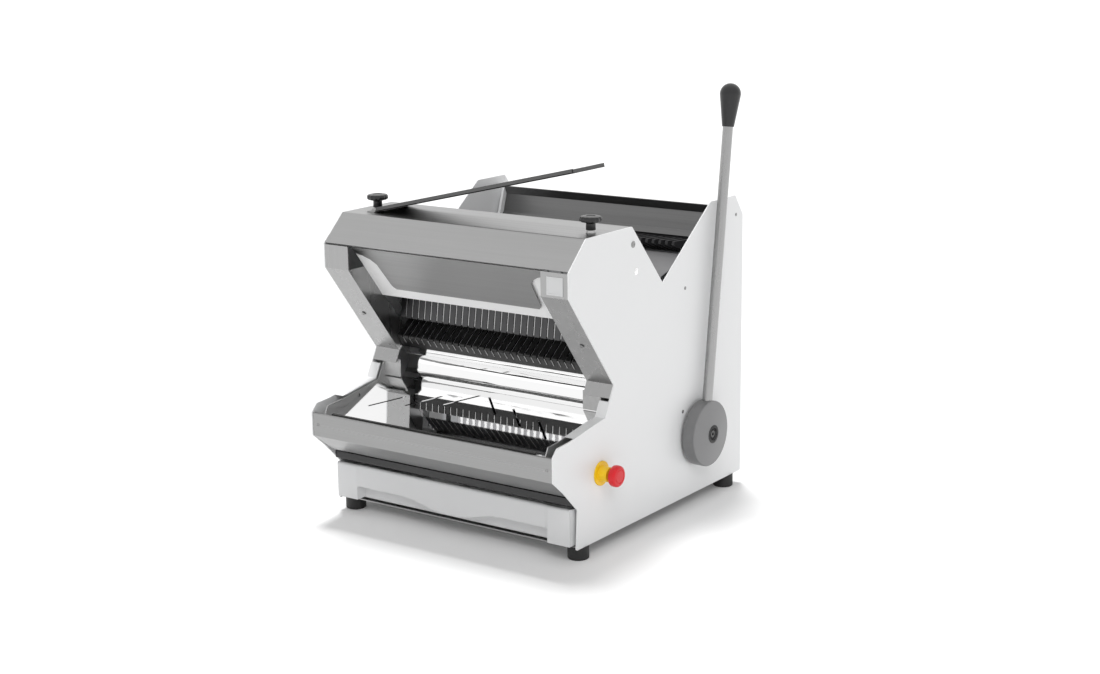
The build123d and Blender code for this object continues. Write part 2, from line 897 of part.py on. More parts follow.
def connecting_rods(middle, hand):
    """Two rods, each with a strap round its eccentric and an eye between the frame's ears."""
    with BuildPart() as rods:
        length = crank_below_bed - rod_end_below_bed
        for hand_x in (-1, 1):
            with BuildSketch(crank_side.offset(hand_x * middle)):
                with Locations((0, hand * throw)):
                    Circle(eccentric_radius + fit_gap + big_end_wall)
                with Locations((0, hand * throw + length)):
                    Circle(rod_end_radius)
                with Locations((0, hand * throw + (length + eccentric_radius) / 2)):
                    Rectangle(rod_neck, length - eccentric_radius)
                with Locations((0, hand * throw)):
                    Circle(eccentric_radius + fit_gap, mode=Mode.SUBTRACT)
                with Locations((0, hand * throw + length)):
                    Circle(wrist_radius + side_gap / 2, mode=Mode.SUBTRACT)
            extrude(amount=rod_thickness / 2, both=True)
    return rods


connecting_rods_a = connecting_rods(wrist_a_x, 1)
save(connecting_rods_a, "connecting_rods_a")

connecting_rods_b = connecting_rods(wrist_b_x, -1)
save(connecting_rods_b, "connecting_rods_b")


stand_inner_x = 182
stand_thickness = 8
bearing_radius = 20
stand_top = bearing_radius + 12
stand_foot = 42
stand_plate = 4
stand_plate_width = 30
with BuildPart() as crank_stands:
    for hand_x in (-1, 1):
        with BuildSketch(side.offset(hand_x * (stand_inner_x + stand_thickness / 2))):
            with BuildLine():
                Polyline(
                    (crank_y - stand_foot, foot_height + sheet),
                    (crank_y + stand_foot, foot_height + sheet),
                    (crank_y + stand_top, crank_z),
                    (crank_y - stand_top, crank_z),
                    close=True,
                )
            make_face()
            with Locations((crank_y, crank_z)):
                Circle(stand_top)
                Circle(bearing_radius, mode=Mode.SUBTRACT)
        extrude(amount=stand_thickness / 2, both=True)
        with BuildSketch(top.offset(foot_height + sheet)):
            with Locations((hand_x * (stand_inner_x + stand_thickness / 2), crank_y)):
                Rectangle(stand_plate_width, stand_foot * 2)
        extrude(amount=stand_plate)
save(crank_stands, "crank_stands")

pulley_flange = 2


def pulley(plane, groove, bore):
    """A flat belt pulley with two flanges."""
    with BuildPart() as wheel:
        flange = groove + belt_thickness - 1
        with BuildSketch(plane):
            Circle(groove)
            if bore:
                Circle(bore, mode=Mode.SUBTRACT)
        extrude(amount=belt_width / 2 + side_gap, both=True)
        for hand_x in (-1, 1):
            with BuildSketch(plane.offset(hand_x * (belt_width / 2 + side_gap))):
                Circle(flange)
                if bore:
                    Circle(bore, mode=Mode.SUBTRACT)
            extrude(amount=hand_x * pulley_flange)
    return wheel


crank_pulley_plane = Plane(
    origin=crank + Vector(pulley_x, 0, 0), x_dir=(0, 1, 0), z_dir=(1, 0, 0)
)
motor_point = floor_point + Vector(0, motor_y, motor_z)
motor_plane = Plane(origin=motor_point, x_dir=(0, 1, 0), z_dir=(1, 0, 0))
motor_pulley_plane = motor_plane.offset(pulley_x)
lightening_radius = 15
lightening_count = 5
lightening_ring = crank_pulley_radius * 0.58
with BuildPart() as crank_pulley:
    add(pulley(crank_pulley_plane, crank_pulley_radius, crank_radius).part)
    with BuildSketch(crank_pulley_plane):
        with PolarLocations(lightening_ring, lightening_count):
            Circle(lightening_radius)
    extrude(amount=belt_width * 2, both=True, mode=Mode.SUBTRACT)
save(crank_pulley, "crank_pulley")

motor_shaft_radius = 7
motor_face_x = pulley_x + belt_width / 2 + 14
shaft_outside = 4
shaft_inside = 20
with BuildPart() as motor_pulley:
    add(pulley(motor_pulley_plane, motor_pulley_radius, motor_shaft_radius).part)
    with BuildSketch(motor_pulley_plane.offset(-belt_width / 2 - shaft_outside)):
        Circle(motor_shaft_radius)
    extrude(amount=motor_face_x - pulley_x + belt_width / 2 + shaft_outside + shaft_inside)
save(motor_pulley, "motor_pulley")

motor_ribs = 12
rib_height = 3
motor_ring = 14
motor_cap = 30
motor_foot_height = 20
table_top = motor_z - motor_radius - 1
with BuildPart() as motor:
    with BuildSketch(motor_plane.offset(motor_face_x)):
        Circle(motor_radius - rib_height)
        with PolarLocations(motor_radius - rib_height - side_gap, motor_ribs, start_angle=180 / motor_ribs):
            Rectangle(rib_height * 2, rib_height)
    extrude(amount=motor_length)
    with BuildSketch(motor_plane.offset(motor_face_x - side_gap)):
        Circle(motor_radius)
    extrude(amount=motor_ring)
    with BuildSketch(motor_plane.offset(motor_face_x + motor_length)):
        Circle(motor_radius)
    extrude(amount=-motor_cap)
    with BuildSketch(motor_plane.offset(motor_face_x - side_gap * 2)):
        Circle(motor_shaft_radius + fit_gap)
    extrude(amount=shaft_inside + side_gap * 4, mode=Mode.SUBTRACT)
    with BuildSketch(top.offset(table_top)):
        with Locations((motor_face_x + motor_length / 2, motor_y)):
            Rectangle(motor_length * 0.6, motor_radius * 1.6)
    extrude(amount=motor_foot_height)
save(motor, "motor")

bracket_sheet = 3
bracket_foot = 19
table_front_y = motor_y - motor_radius + 8
table_back_y = motor_y + motor_radius - 8
bracket_foot_z = foot_height + sheet + bracket_sheet / 2
bracket_table_z = table_top - bracket_sheet / 2
with BuildPart() as motor_bracket:
    with BuildSketch(side.offset(motor_face_x + motor_length / 2)):
        folded(
            [
                (table_front_y - bracket_foot, bracket_foot_z),
                (table_front_y, bracket_foot_z),
                (table_front_y, bracket_table_z),
                (table_back_y, bracket_table_z),
                (table_back_y, bracket_foot_z),
                (table_back_y - bracket_foot, bracket_foot_z),
            ],
            thickness=bracket_sheet,
        )
    extrude(amount=motor_length * 0.3, both=True)
save(motor_bracket, "motor_bracket")

belt_inner_crank = crank_pulley_radius + running_gap
belt_inner_motor = motor_pulley_radius + running_gap
with BuildPart() as drive_belt:
    with BuildSketch(side.offset(pulley_x)):
        with Locations((crank_y, crank_z)):
            Circle(belt_inner_crank + belt_thickness)
        with Locations((motor_y, motor_z)):
            Circle(belt_inner_motor + belt_thickness)
        make_hull()
    extrude(amount=belt_width / 2, both=True)
    with BuildSketch(side.offset(pulley_x)):
        with Locations((crank_y, crank_z)):
            Circle(belt_inner_crank)
        with Locations((motor_y, motor_z)):
            Circle(belt_inner_motor)
        make_hull()
    extrude(amount=belt_width, both=True, mode=Mode.SUBTRACT)
save(drive_belt, "drive_belt")

# ---------------------------------------------------------------- hold-down comb over the way out
comb_tube_radius = 6
comb_pin_radius = 3.5
comb_half = bed_half_width - 2
comb_sheet = 1.5
comb_bend = 8
comb_slot_width = 2.2
comb_slot_length = 48
comb_slot_rise = 22
comb_foot_y = hinge_y - 13
comb_foot_z = hinge_z - 59
comb_bend_y = hinge_y - 7
comb_bend_z = hinge_z - 20
with BuildPart() as hold_down_comb:
    with BuildSketch(side):
        with BuildLine():
            FilletPolyline(
                (hinge_y, hinge_z), (comb_bend_y, comb_bend_z), (comb_foot_y, comb_foot_z), radius=comb_bend
            )
        trace(line_width=comb_sheet)
        with Locations((hinge_y, hinge_z)):
            Circle(comb_tube_radius)
            Circle(comb_pin_radius + fit_gap, mode=Mode.SUBTRACT)
    across(comb_half)
    with BuildSketch(front):
        with Locations((0, comb_foot_z + comb_slot_rise)):
            with GridLocations(blade_pitch, 1, slot_count, 1):
                Rectangle(comb_slot_width, comb_slot_length)
    extrude(amount=-blade_foot_y, mode=Mode.SUBTRACT)
save(hold_down_comb, "hold_down_comb")

with BuildPart() as comb_pin:
    with BuildSketch(side):
        with Locations((hinge_y, hinge_z)):
            Circle(comb_pin_radius)
    across(inner_half)
save(comb_pin, "comb_pin")

# ---------------------------------------------------------------- floor behind the blades
floor_radius = comb_bottom - 6
floor_front_gap = 0.5
floor_front_angle = bed_angle + degrees(atan2(pivot_below_bed, bed_back_behind)) - floor_front_gap
floor_back_angle = 66
floor_drop = 6
floor_half_width = arm_inner_x - 3
floor_end = (
    pivot_y + floor_radius * cos(radians(floor_back_angle)),
    pivot_z + floor_radius * sin(radians(floor_back_angle)),
)
with BuildPart() as trough_floor:
    with BuildSketch(side):
        with BuildLine():
            CenterArc(
                (pivot_y, pivot_z), floor_radius, floor_back_angle, floor_front_angle - floor_back_angle
            )
            Line(floor_end, (back_sheet_y - side_gap, floor_end[1] - floor_drop))
        trace(line_width=sheet)
    across(floor_half_width)
save(trough_floor, "trough_floor")

# ---------------------------------------------------------------- lever, shaft and pusher
arm_root_radius = 26
arm_half_root = 18
arm_half_tip = 13
arm_boss_length = 10
arm_boss_radius = 16
arm_corner = 8
arm_above_pusher = 4
with BuildPart() as swing_arms:
    for hand_x in (-1, 1):
        with BuildSketch(arm_side.offset(hand_x * arm_inner_x)):
            with BuildLine():
                Polyline(
                    (-arm_half_root, 0),
                    (arm_half_root, 0),
                    (arm_half_tip, pusher_top + arm_above_pusher),
                    (-arm_half_tip, pusher_top + arm_above_pusher),
                    close=True,
                )
            make_face()
            fillet(vertices().group_by(Axis.Y)[-1], radius=arm_corner)
            Circle(arm_root_radius)
            Circle(shaft_radius + fit_gap, mode=Mode.SUBTRACT)
        extrude(amount=hand_x * arm_thickness)
        with BuildSketch(arm_side.offset(hand_x * (arm_inner_x - arm_boss_length))):
            Circle(arm_boss_radius)
            Circle(shaft_radius + fit_gap, mode=Mode.SUBTRACT)
        extrude(amount=hand_x * arm_boss_length)
save(swing_arms, "swing_arms")

pusher_half = arm_inner_x - fit_gap
pusher_face = -1
pusher_top_lean = -13
pusher_foot_lean = -9
pusher_fold = 14
tab_width = 12
tab_height = 34
tab_middle = 5
with BuildPart() as pusher_bar:
    with BuildSketch(arm_side):
        folded(
            [
                (pusher_top_lean, pusher_top),
                (pusher_face, pusher_top - pusher_fold),
                (pusher_face, pusher_bottom + pusher_fold),
                (pusher_foot_lean, pusher_bottom + side_gap),
            ]
        )
    across(pusher_half)
    # End tabs that bolt to the arms
    for hand_x in (-1, 1):
        with BuildSketch(arm_side.offset(hand_x * (pusher_half - sheet))):
            with Locations((tab_middle, (pusher_top + pusher_bottom) / 2)):
                Rectangle(tab_width, tab_height)
        extrude(amount=hand_x * sheet)
save(pusher_bar, "pusher_bar")

finger_count = blade_count - 1
comb_back = 9
finger_root = 12
finger_shoulder = 4
finger_tip_foot = comb_bottom + 5
finger_tip_height = 8
with BuildPart() as pusher_comb:
    with BuildSketch(arm_side):
        with Locations((comb_back / 2, (comb_bottom + comb_top) / 2)):
            Rectangle(comb_back, comb_top - comb_bottom)
    across(pusher_half - side_gap * 3)
    for number in range(finger_count):
        finger_x = (number - (finger_count - 1) / 2) * blade_pitch
        with BuildSketch(arm_side.offset(finger_x)):
            with BuildLine():
                Polyline(
                    (-fit_gap, comb_bottom),
                    (-fit_gap, pusher_bottom - finger_shoulder + side_gap),
                    (-finger_root, pusher_bottom - finger_shoulder),
                    (-finger_length, finger_tip_foot + finger_tip_height),
                    (-finger_length, finger_tip_foot),
                    close=True,
                )
            make_face()
        extrude(amount=finger_thickness / 2, both=True)
save(pusher_comb, "pusher_comb")

hub_inner_x = half_width + 4
hub_outer_x = hub_inner_x + hub_thickness
hub_bore = 16
hub_rim = 4
hub_edge = 2.5
shaft_end_x = hub_inner_x + hub_bore
shaft_cap_radius = shaft_radius + 4
shaft_cap_edge = 2
recess_radius = 14
recess_depth = 8
with BuildPart() as cross_shaft:
    with BuildSketch(side.offset(-half_width - side_gap)):
        with Locations((pivot_y, pivot_z)):
            Circle(shaft_radius)
    extrude(amount=half_width + side_gap + shaft_end_x)
    with BuildSketch(side.offset(-half_width - side_gap)):
        with Locations((pivot_y, pivot_z)):
            Circle(shaft_cap_radius)
    extrude(amount=side_gap - end_cap_reach)
    fillet(edges().filter_by(GeomType.CIRCLE).sort_by(Axis.X)[0], radius=shaft_cap_edge)
save(cross_shaft, "cross_shaft")

bearing_flange = 6
bearing_flange_thickness = 3
with BuildPart() as shaft_bearings:
    for hand_x in (-1, 1):
        with BuildSketch(side.offset(hand_x * inner_half)):
            with Locations((pivot_y, pivot_z)):
                Circle(bearing_seat_radius)
                Circle(shaft_radius + fit_gap, mode=Mode.SUBTRACT)
        extrude(amount=hand_x * panel_thickness)
        with BuildSketch(side.offset(hand_x * inner_half)):
            with Locations((pivot_y, pivot_z)):
                Circle(bearing_seat_radius + bearing_flange)
                Circle(shaft_radius + fit_gap, mode=Mode.SUBTRACT)
        extrude(amount=-hand_x * bearing_flange_thickness)
    for hand_x in (-1, 1):
        with BuildSketch(crank_side.offset(hand_x * (stand_inner_x + stand_thickness / 2))):
            Circle(bearing_radius)
            Circle(crank_radius + fit_gap, mode=Mode.SUBTRACT)
        extrude(amount=stand_thickness / 2 + side_gap, both=True)
save(shaft_bearings, "shaft_bearings")

with BuildPart() as lever_hub:
    with BuildSketch(top):
        with BuildLine():
            Polyline(
                (hub_inner_x, pivot_y),
                (hub_inner_x, pivot_y + hub_radius),
                (hub_outer_x, pivot_y + hub_radius),
                (hub_outer_x + hub_cone, pivot_y + recess_radius + hub_rim),
                (hub_outer_x + hub_cone, pivot_y + recess_radius),
                (hub_outer_x + hub_cone - recess_depth, pivot_y + recess_radius),
                (hub_outer_x + hub_cone - recess_depth, pivot_y),
                close=True,
            )
        make_face()
        fillet(vertices().sort_by(Axis.Y)[-2:], radius=hub_edge)
    revolve(axis=Axis((mid_x, pivot.Y, 0), (1, 0, 0)))
    with BuildSketch(side.offset(hub_inner_x)):
        with Locations((pivot_y, 0)):
            Circle(shaft_radius + fit_gap)
    extrude(amount=shaft_end_x - hub_inner_x, mode=Mode.SUBTRACT)
hub_disc = lever_hub.part.moved(Location((0, 0, pivot_z)))

lever_x = hub_inner_x + hub_thickness / 2
socket_depth = 28
socket_foot = hub_radius - socket_depth
lever_axis_dir = Vector(0, sin(radians(lever_lean)), cos(radians(lever_lean)))
lever_foot = Plane(
    origin=pivot + Vector(lever_x, 0, 0) + lever_axis_dir * socket_foot,
    x_dir=(1, 0, 0),
    z_dir=lever_axis_dir,
)
with BuildPart() as lever_hub:
    add(hub_disc)
    with BuildSketch(lever_foot):
        Circle(lever_radius + fit_gap)
    extrude(amount=hub_radius, mode=Mode.SUBTRACT)
save(lever_hub, "lever_hub")

handle_foot = lever_length - handle_length
handle_socket = 45
tube_end = handle_foot + handle_socket
with BuildPart() as lever_tube:
    with BuildSketch(lever_foot):
        Circle(lever_radius)
    extrude(amount=tube_end - socket_foot)
save(lever_tube, "lever_tube")

handle_plane = Plane(
    origin=pivot + Vector(lever_x, 0, 0), x_dir=(1, 0, 0), z_dir=(0, -lever_axis_dir.Z, lever_axis_dir.Y)
)
ball_centre = lever_length - handle_radius
ball_taper = 8
with BuildPart() as lever_handle:
    with BuildSketch(handle_plane):
        with BuildLine():
            ball = CenterArc((0, ball_centre), handle_radius, -ball_taper, 90 + ball_taper)
            Polyline(ball @ 1, (0, handle_foot), (handle_foot_radius, handle_foot), ball @ 0)
        make_face()
    revolve(axis=Axis(pivot + Vector(lever_x, 0, 0), lever_axis_dir))
    with BuildSketch(Plane(origin=handle_plane.origin + lever_axis_dir * handle_foot, z_dir=lever_axis_dir)):
        Circle(lever_radius + fit_gap)
    extrude(amount=tube_end - handle_foot, mode=Mode.SUBTRACT)
save(lever_handle, "lever_handle")

hub_screw_radius = 7
hub_screw_sunk = 1.5
hub_socket_radius = 3.5
hub_socket_depth = 5
with BuildPart() as hub_screw:
    with BuildSketch(side.offset(hub_outer_x + hub_cone - recess_depth)):
        with Locations((pivot_y, pivot_z)):
            Circle(hub_screw_radius)
    extrude(amount=recess_depth - hub_screw_sunk)
    with BuildSketch(side.offset(hub_outer_x + hub_cone)):
        with Locations((pivot_y, pivot_z)):
            RegularPolygon(hub_socket_radius, 6)
    extrude(amount=-hub_socket_depth, mode=Mode.SUBTRACT)
save(hub_screw, "hub_screw")

# Rubber stops behind the arms at rest
bumper_radius = 7
bumper_gap = 1.9
bumper_height = 395
bumper_overlap = 2
bumper_centre = arm_side.from_local_coords((arm_half_tip + bumper_gap + bumper_radius, bumper_height, 0))
with BuildPart() as arm_stops:
    for hand_x in (-1, 1):
        with BuildSketch(side.offset(hand_x * inner_half)):
            with Locations((bumper_centre.Y - nose_y, bumper_centre.Z)):
                Circle(bumper_radius)
        extrude(amount=-hand_x * (inner_half - arm_inner_x + bumper_overlap))
save(arm_stops, "arm_stops")

# ---------------------------------------------------------------- knobs and flap on the hood
stud_top = hood_top_z + collar_height + 22
stud_inside = 12
stud_nut_radius = stud_radius + 4
stud_nut_height = 6
with BuildPart() as knob_studs:
    with BuildSketch(top.offset(hood_top_z - stud_inside)):
        with Locations((-knob_x, knob_y), (knob_x, knob_y)):
            Circle(stud_radius)
    extrude(amount=stud_top - hood_top_z + stud_inside)
    with BuildSketch(top.offset(hood_top_z)):
        with Locations((-knob_x, knob_y), (knob_x, knob_y)):
            Circle(collar_radius)
    extrude(amount=collar_height)
    with BuildSketch(top.offset(hood_top_z - sheet)):
        with Locations((-knob_x, knob_y), (knob_x, knob_y)):
            Circle(stud_nut_radius)
    extrude(amount=-stud_nut_height)
save(knob_studs, "knob_studs")

knob_lobes = 7
lobe_radius = 6
lobe_web = 2
knob_foot = hood_top_z + collar_height + running_gap


def star_knob(middle_x):
    """A lobed clamping knob, bored for its stud."""
    with BuildPart() as knob:
        with BuildSketch(top.offset(knob_foot)):
            with Locations((middle_x, knob_y)):
                Circle(knob_hub_radius)
        extrude(amount=knob_hub_height)
        with BuildSketch(top.offset(knob_foot + knob_hub_height)):
            with Locations((middle_x, knob_y)):
                Circle(knob_radius - lobe_radius + lobe_web)
                with PolarLocations(knob_radius - lobe_radius, knob_lobes):
                    Circle(lobe_radius)
        extrude(amount=knob_height)
        with BuildSketch(top.offset(knob_foot - side_gap)):
            with Locations((middle_x, knob_y)):
                Circle(stud_radius + fit_gap)
        extrude(amount=stud_top - knob_foot + side_gap * 2, mode=Mode.SUBTRACT)
    return knob


knob_left = star_knob(-knob_x)
save(knob_left, "knob_left")

knob_right = star_knob(knob_x)
save(knob_right, "knob_right")

# The flap is shown raised at its free end, as in use
flap_pin_radius = 2
flap_knuckle_radius = 4
flap_hinge_z = hood_top_z + flap_knuckle_radius + running_gap
flap_raise_cos = cos(radians(flap_raise))
flap_raise_sin = sin(radians(flap_raise))
flap_origin = floor_point + Vector(flap_hinge_x, flap_front_y, flap_hinge_z)
flap_section = Plane(
    origin=flap_origin, x_dir=(flap_raise_cos, 0, flap_raise_sin), z_dir=(0, -1, 0)
)
flap_top = Plane(
    origin=flap_origin,
    x_dir=(flap_raise_cos, 0, flap_raise_sin),
    z_dir=(-flap_raise_sin, 0, flap_raise_cos),
)
knuckle_length = 16
leaf_length = 16
hole_from_hinge = 465
hole_behind_edge = 28
flap_corner = 3
with BuildPart() as hood_flap:
    with BuildSketch(flap_top.offset(-flap_knuckle_radius)):
        with Locations((flap_length / 2, flap_depth / 2)):
            RectangleRounded(flap_length, flap_depth, flap_corner)
        with Locations((hole_from_hinge, hole_behind_edge)):
            Circle(flap_hole_radius, mode=Mode.SUBTRACT)
    extrude(amount=sheet)
    # Room for the hood's knuckles at both ends
    for start in (0, flap_depth - knuckle_length):
        with BuildSketch(flap_section.offset(-start)):
            Circle(flap_knuckle_radius + running_gap)
        extrude(amount=-knuckle_length, mode=Mode.SUBTRACT)
    with BuildSketch(flap_section.offset(-knuckle_length)):
        Circle(flap_knuckle_radius)
    extrude(amount=knuckle_length * 2 - flap_depth)
    with BuildSketch(flap_section):
        Circle(flap_pin_radius + fit_gap)
    extrude(amount=-flap_depth, mode=Mode.SUBTRACT)
save(hood_flap, "hood_flap")

fixed_knuckle = knuckle_length - running_gap
with BuildPart() as flap_hinge:
    for start in (0, flap_depth - fixed_knuckle):
        with BuildSketch(flap_section.offset(-start)):
            Circle(flap_knuckle_radius)
        extrude(amount=-fixed_knuckle)
        with BuildSketch(top.offset(hood_top_z)):
            with Locations((flap_hinge_x - leaf_length / 2, flap_front_y + start + fixed_knuckle / 2)):
                Rectangle(leaf_length, fixed_knuckle)
        extrude(amount=sheet)
    with BuildSketch(flap_section):
        Circle(flap_pin_radius)
    extrude(amount=-flap_depth)
save(flap_hinge, "flap_hinge")

# ---------------------------------------------------------------- stop button
estop_disc_thickness = 3
estop_collar = 20
estop_taper = 4
estop_barrel = 16
estop_head_thickness = 16
estop_stem_hidden = 9
estop_socket = 8
with BuildPart() as estop_base:
    with BuildSketch(side.offset(half_width)):
        with Locations((estop_y, estop_z)):
            Circle(estop_disc_radius)
    extrude(amount=estop_disc_thickness)
    with BuildSketch(side.offset(half_width)):
        with Locations((estop_y, estop_z)):
            Circle(estop_body_radius)
    extrude(amount=estop_collar, taper=estop_taper)
    with BuildSketch(side.offset(half_width)):
        with Locations((estop_y, estop_z)):
            Circle(estop_barrel_radius)
    extrude(amount=-estop_barrel)
    with BuildSketch(side.offset(half_width + estop_collar)):
        with Locations((estop_y, estop_z)):
            Circle(estop_stem_radius + fit_gap)
    extrude(amount=-estop_collar - estop_stem_hidden - estop_travel - side_gap, mode=Mode.SUBTRACT)
save(estop_base, "estop_base")

estop_head_foot = half_width + estop_reach - estop_head_thickness
with BuildPart() as estop_stem:
    with BuildSketch(side.offset(half_width - estop_stem_hidden)):
        with Locations((estop_y, estop_z)):
            Circle(estop_stem_radius)
    extrude(amount=estop_head_foot + estop_socket - half_width + estop_stem_hidden)
save(estop_stem, "estop_stem")

estop_edge = 5
with BuildPart() as estop_head:
    with BuildSketch(side.offset(estop_head_foot)):
        with Locations((estop_y, estop_z)):
            Circle(estop_head_radius)
    extrude(amount=estop_head_thickness)
    fillet(edges().filter_by(GeomType.CIRCLE).sort_by(Axis.X)[-1], radius=estop_edge)
    with BuildSketch(side.offset(estop_head_foot)):
        with Locations((estop_y, estop_z)):
            Circle(estop_stem_radius + fit_gap)
    extrude(amount=estop_socket + side_gap, mode=Mode.SUBTRACT)
save(estop_head, "estop_head")

contact_side = 28
contact_depth = 34
with BuildPart() as estop_contacts:
    with BuildSketch(side.offset(half_width - estop_barrel)):
        with Locations((estop_y, estop_z)):
            RectangleRounded(contact_side, contact_side, panel_corner)
    extrude(amount=-contact_depth)
save(estop_contacts, "estop_contacts")

# ---------------------------------------------------------------- crumb drawer and its runners
drawer_clearance = 8
drawer_foot_z = foot_height + drawer_clearance
drawer_top_z = drawer_foot_z + drawer_height
drawer_middle_z = (drawer_foot_z + drawer_top_z) / 2
column_width = 52
column_forward = 4
wave_forward = 2
wave_high = 60
wave_low = 46
wave_start = 200
wave_flat = 110
front_wall_y = drawer_front_y - drawer_wall
with BuildPart() as crumb_drawer:
    with BuildSketch(top.offset(drawer_foot_z)):
        with Locations((0, (front_wall_y + drawer_back_y) / 2)):
            Rectangle(drawer_half_width * 2, drawer_back_y - front_wall_y)
    extrude(amount=drawer_height)
    with BuildSketch(top.offset(drawer_foot_z + drawer_wall)):
        with Locations((0, (drawer_front_y + drawer_back_y - drawer_wall) / 2)):
            Rectangle((drawer_half_width - drawer_wall) * 2, drawer_back_y - drawer_front_y - drawer_wall)
    extrude(amount=drawer_height, mode=Mode.SUBTRACT)
    # The moulded front: a column at each end and a raised field above a shallow wave
    for hand in (-1, 1):
        with BuildSketch(front.offset(-front_wall_y)):
            with Locations((hand * (drawer_half_width - column_width / 2), drawer_middle_z)):
                Rectangle(column_width, drawer_height)
        extrude(amount=column_forward)
    with BuildSketch(front.offset(-front_wall_y)):
        with BuildLine():
            Polyline(
                (-wave_start, wave_high),
                (column_width - drawer_half_width, wave_high),
                (column_width - drawer_half_width, drawer_top_z),
                (drawer_half_width - column_width, drawer_top_z),
                (drawer_half_width - column_width, wave_high),
                (wave_start, wave_high),
            )
            Spline((wave_start, wave_high), (wave_flat, wave_low), tangents=((-1, 0), (-1, 0)))
            Line((wave_flat, wave_low), (-wave_flat, wave_low))
            Spline((-wave_flat, wave_low), (-wave_start, wave_high), tangents=((-1, 0), (-1, 0)))
        make_face()
    extrude(amount=wave_forward)
save(crumb_drawer, "crumb_drawer")

runner_front_y = 120
runner_behind = 6
runner_back_y = drawer_back_y + runner_behind
runner_width = 18
runner_height = 16
runner_z = drawer_foot_z - side_gap / 2 - sheet
with BuildPart() as drawer_runners:
    for hand in (-1, 1):
        with BuildSketch(front.offset(-runner_front_y)):
            with Locations((hand * (inner_half - runner_width / 2), runner_z + sheet / 2)):
                Rectangle(runner_width, sheet)
            with Locations((hand * (inner_half - sheet / 2), runner_z + runner_height / 2)):
                Rectangle(sheet, runner_height)
        extrude(amount=runner_front_y - runner_back_y)
save(drawer_runners, "drawer_runners")

# ---------------------------------------------------------------- feet, box, gland, screws
foot_chamfer = 2
with BuildPart() as feet:
    with BuildSketch(top):
        with Locations(*foot_spots):
            Circle(foot_radius)
    extrude(amount=foot_height)
    chamfer(edges().filter_by(GeomType.CIRCLE).group_by(Axis.Z)[0], length=foot_chamfer)
    with BuildSketch(top.offset(foot_height)):
        with Locations(*foot_spots):
            Circle(foot_screw_radius)
    extrude(amount=-foot_screw_depth, mode=Mode.SUBTRACT)
save(feet, "feet")

with BuildPart() as cable_gland:
    with BuildSketch(front.offset(-back_sheet_y + gland_inside)):
        with Locations((gland_x, gland_z)):
            Circle(gland_radius)
    extrude(amount=-gland_inside - (nose_to_back - back_sheet_y) - gland_reach)
    with BuildSketch(front.offset(-back_sheet_y - sheet)):
        with Locations((gland_x, gland_z)):
            RegularPolygon(gland_nut, 6)
    extrude(amount=-sheet * 3)
save(cable_gland, "cable_gland")

box_x = 130
box_width = 140
box_gap = 4
box_back_y = back_sheet_y - gland_inside - box_gap
box_depth = 90
box_height = 110
with BuildPart() as control_box:
    with BuildSketch(top.offset(foot_height + sheet)):
        with Locations((box_x, box_back_y - box_depth / 2)):
            RectangleRounded(box_width, box_depth, panel_corner)
    extrude(amount=box_height)
save(control_box, "control_box")

screw_head_radius = 4.5
screw_head_height = 2
with BuildPart() as screws:
    with BuildSketch(top.offset(foot_height + sheet)):
        with Locations(*foot_spots):
            Circle(foot_screw_radius)
    extrude(amount=-foot_screw_depth - sheet)
    with BuildSketch(top.offset(foot_height + sheet)):
        with Locations(*foot_spots):
            Circle(foot_screw_head)
    extrude(amount=sheet)
    for hand in (-1, 1):
        with BuildSketch(side.offset(hand * half_width)):
            with Locations(*panel_screws):
                Circle(screw_head_radius)
        extrude(amount=hand * screw_head_height)
save(screws, "screws")
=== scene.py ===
import json
from math import cos, pi, radians, sin

import bmesh
import bpy
from mathutils import Matrix, Vector


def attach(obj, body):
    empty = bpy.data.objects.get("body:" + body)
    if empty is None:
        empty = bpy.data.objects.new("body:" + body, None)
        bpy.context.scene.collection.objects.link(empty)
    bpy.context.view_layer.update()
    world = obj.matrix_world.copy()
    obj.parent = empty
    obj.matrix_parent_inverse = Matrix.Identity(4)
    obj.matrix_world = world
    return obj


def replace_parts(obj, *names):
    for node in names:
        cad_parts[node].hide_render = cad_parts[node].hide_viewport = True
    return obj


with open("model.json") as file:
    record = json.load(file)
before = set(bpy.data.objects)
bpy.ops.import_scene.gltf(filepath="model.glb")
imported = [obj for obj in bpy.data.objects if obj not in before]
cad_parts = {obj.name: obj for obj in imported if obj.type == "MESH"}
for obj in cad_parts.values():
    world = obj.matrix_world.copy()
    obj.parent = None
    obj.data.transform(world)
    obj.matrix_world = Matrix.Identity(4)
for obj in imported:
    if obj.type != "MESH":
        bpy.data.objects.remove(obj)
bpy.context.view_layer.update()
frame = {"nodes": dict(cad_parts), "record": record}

nodes = frame["nodes"]
subparts = frame["record"]["subparts"]
slotOf = {part["node"]: part["material_slot"] for part in subparts}
bodies = frame["record"]["behaviour"]["bodies"]
bodyOf = {node: body for body, members in bodies.items() for node in members}

# Places below are in the machine's own millimetres:
# x from the middle plane, y from the nose, z from the floor
machineOffset = Vector((-18.0, -339.5, 0.0))


def place(x, y, z):
    return (Vector((x, y, z)) + machineOffset) / 1000.0


cameraSetup = {
    "position": (2092.5, -2528.8, 1160.7),
    "yaw": 35.595,
    "pitch": 13.135,
    "roll": -0.745,
    "lens": 60.62,
    "sensor": 36.0,
    "reach": 50,
}


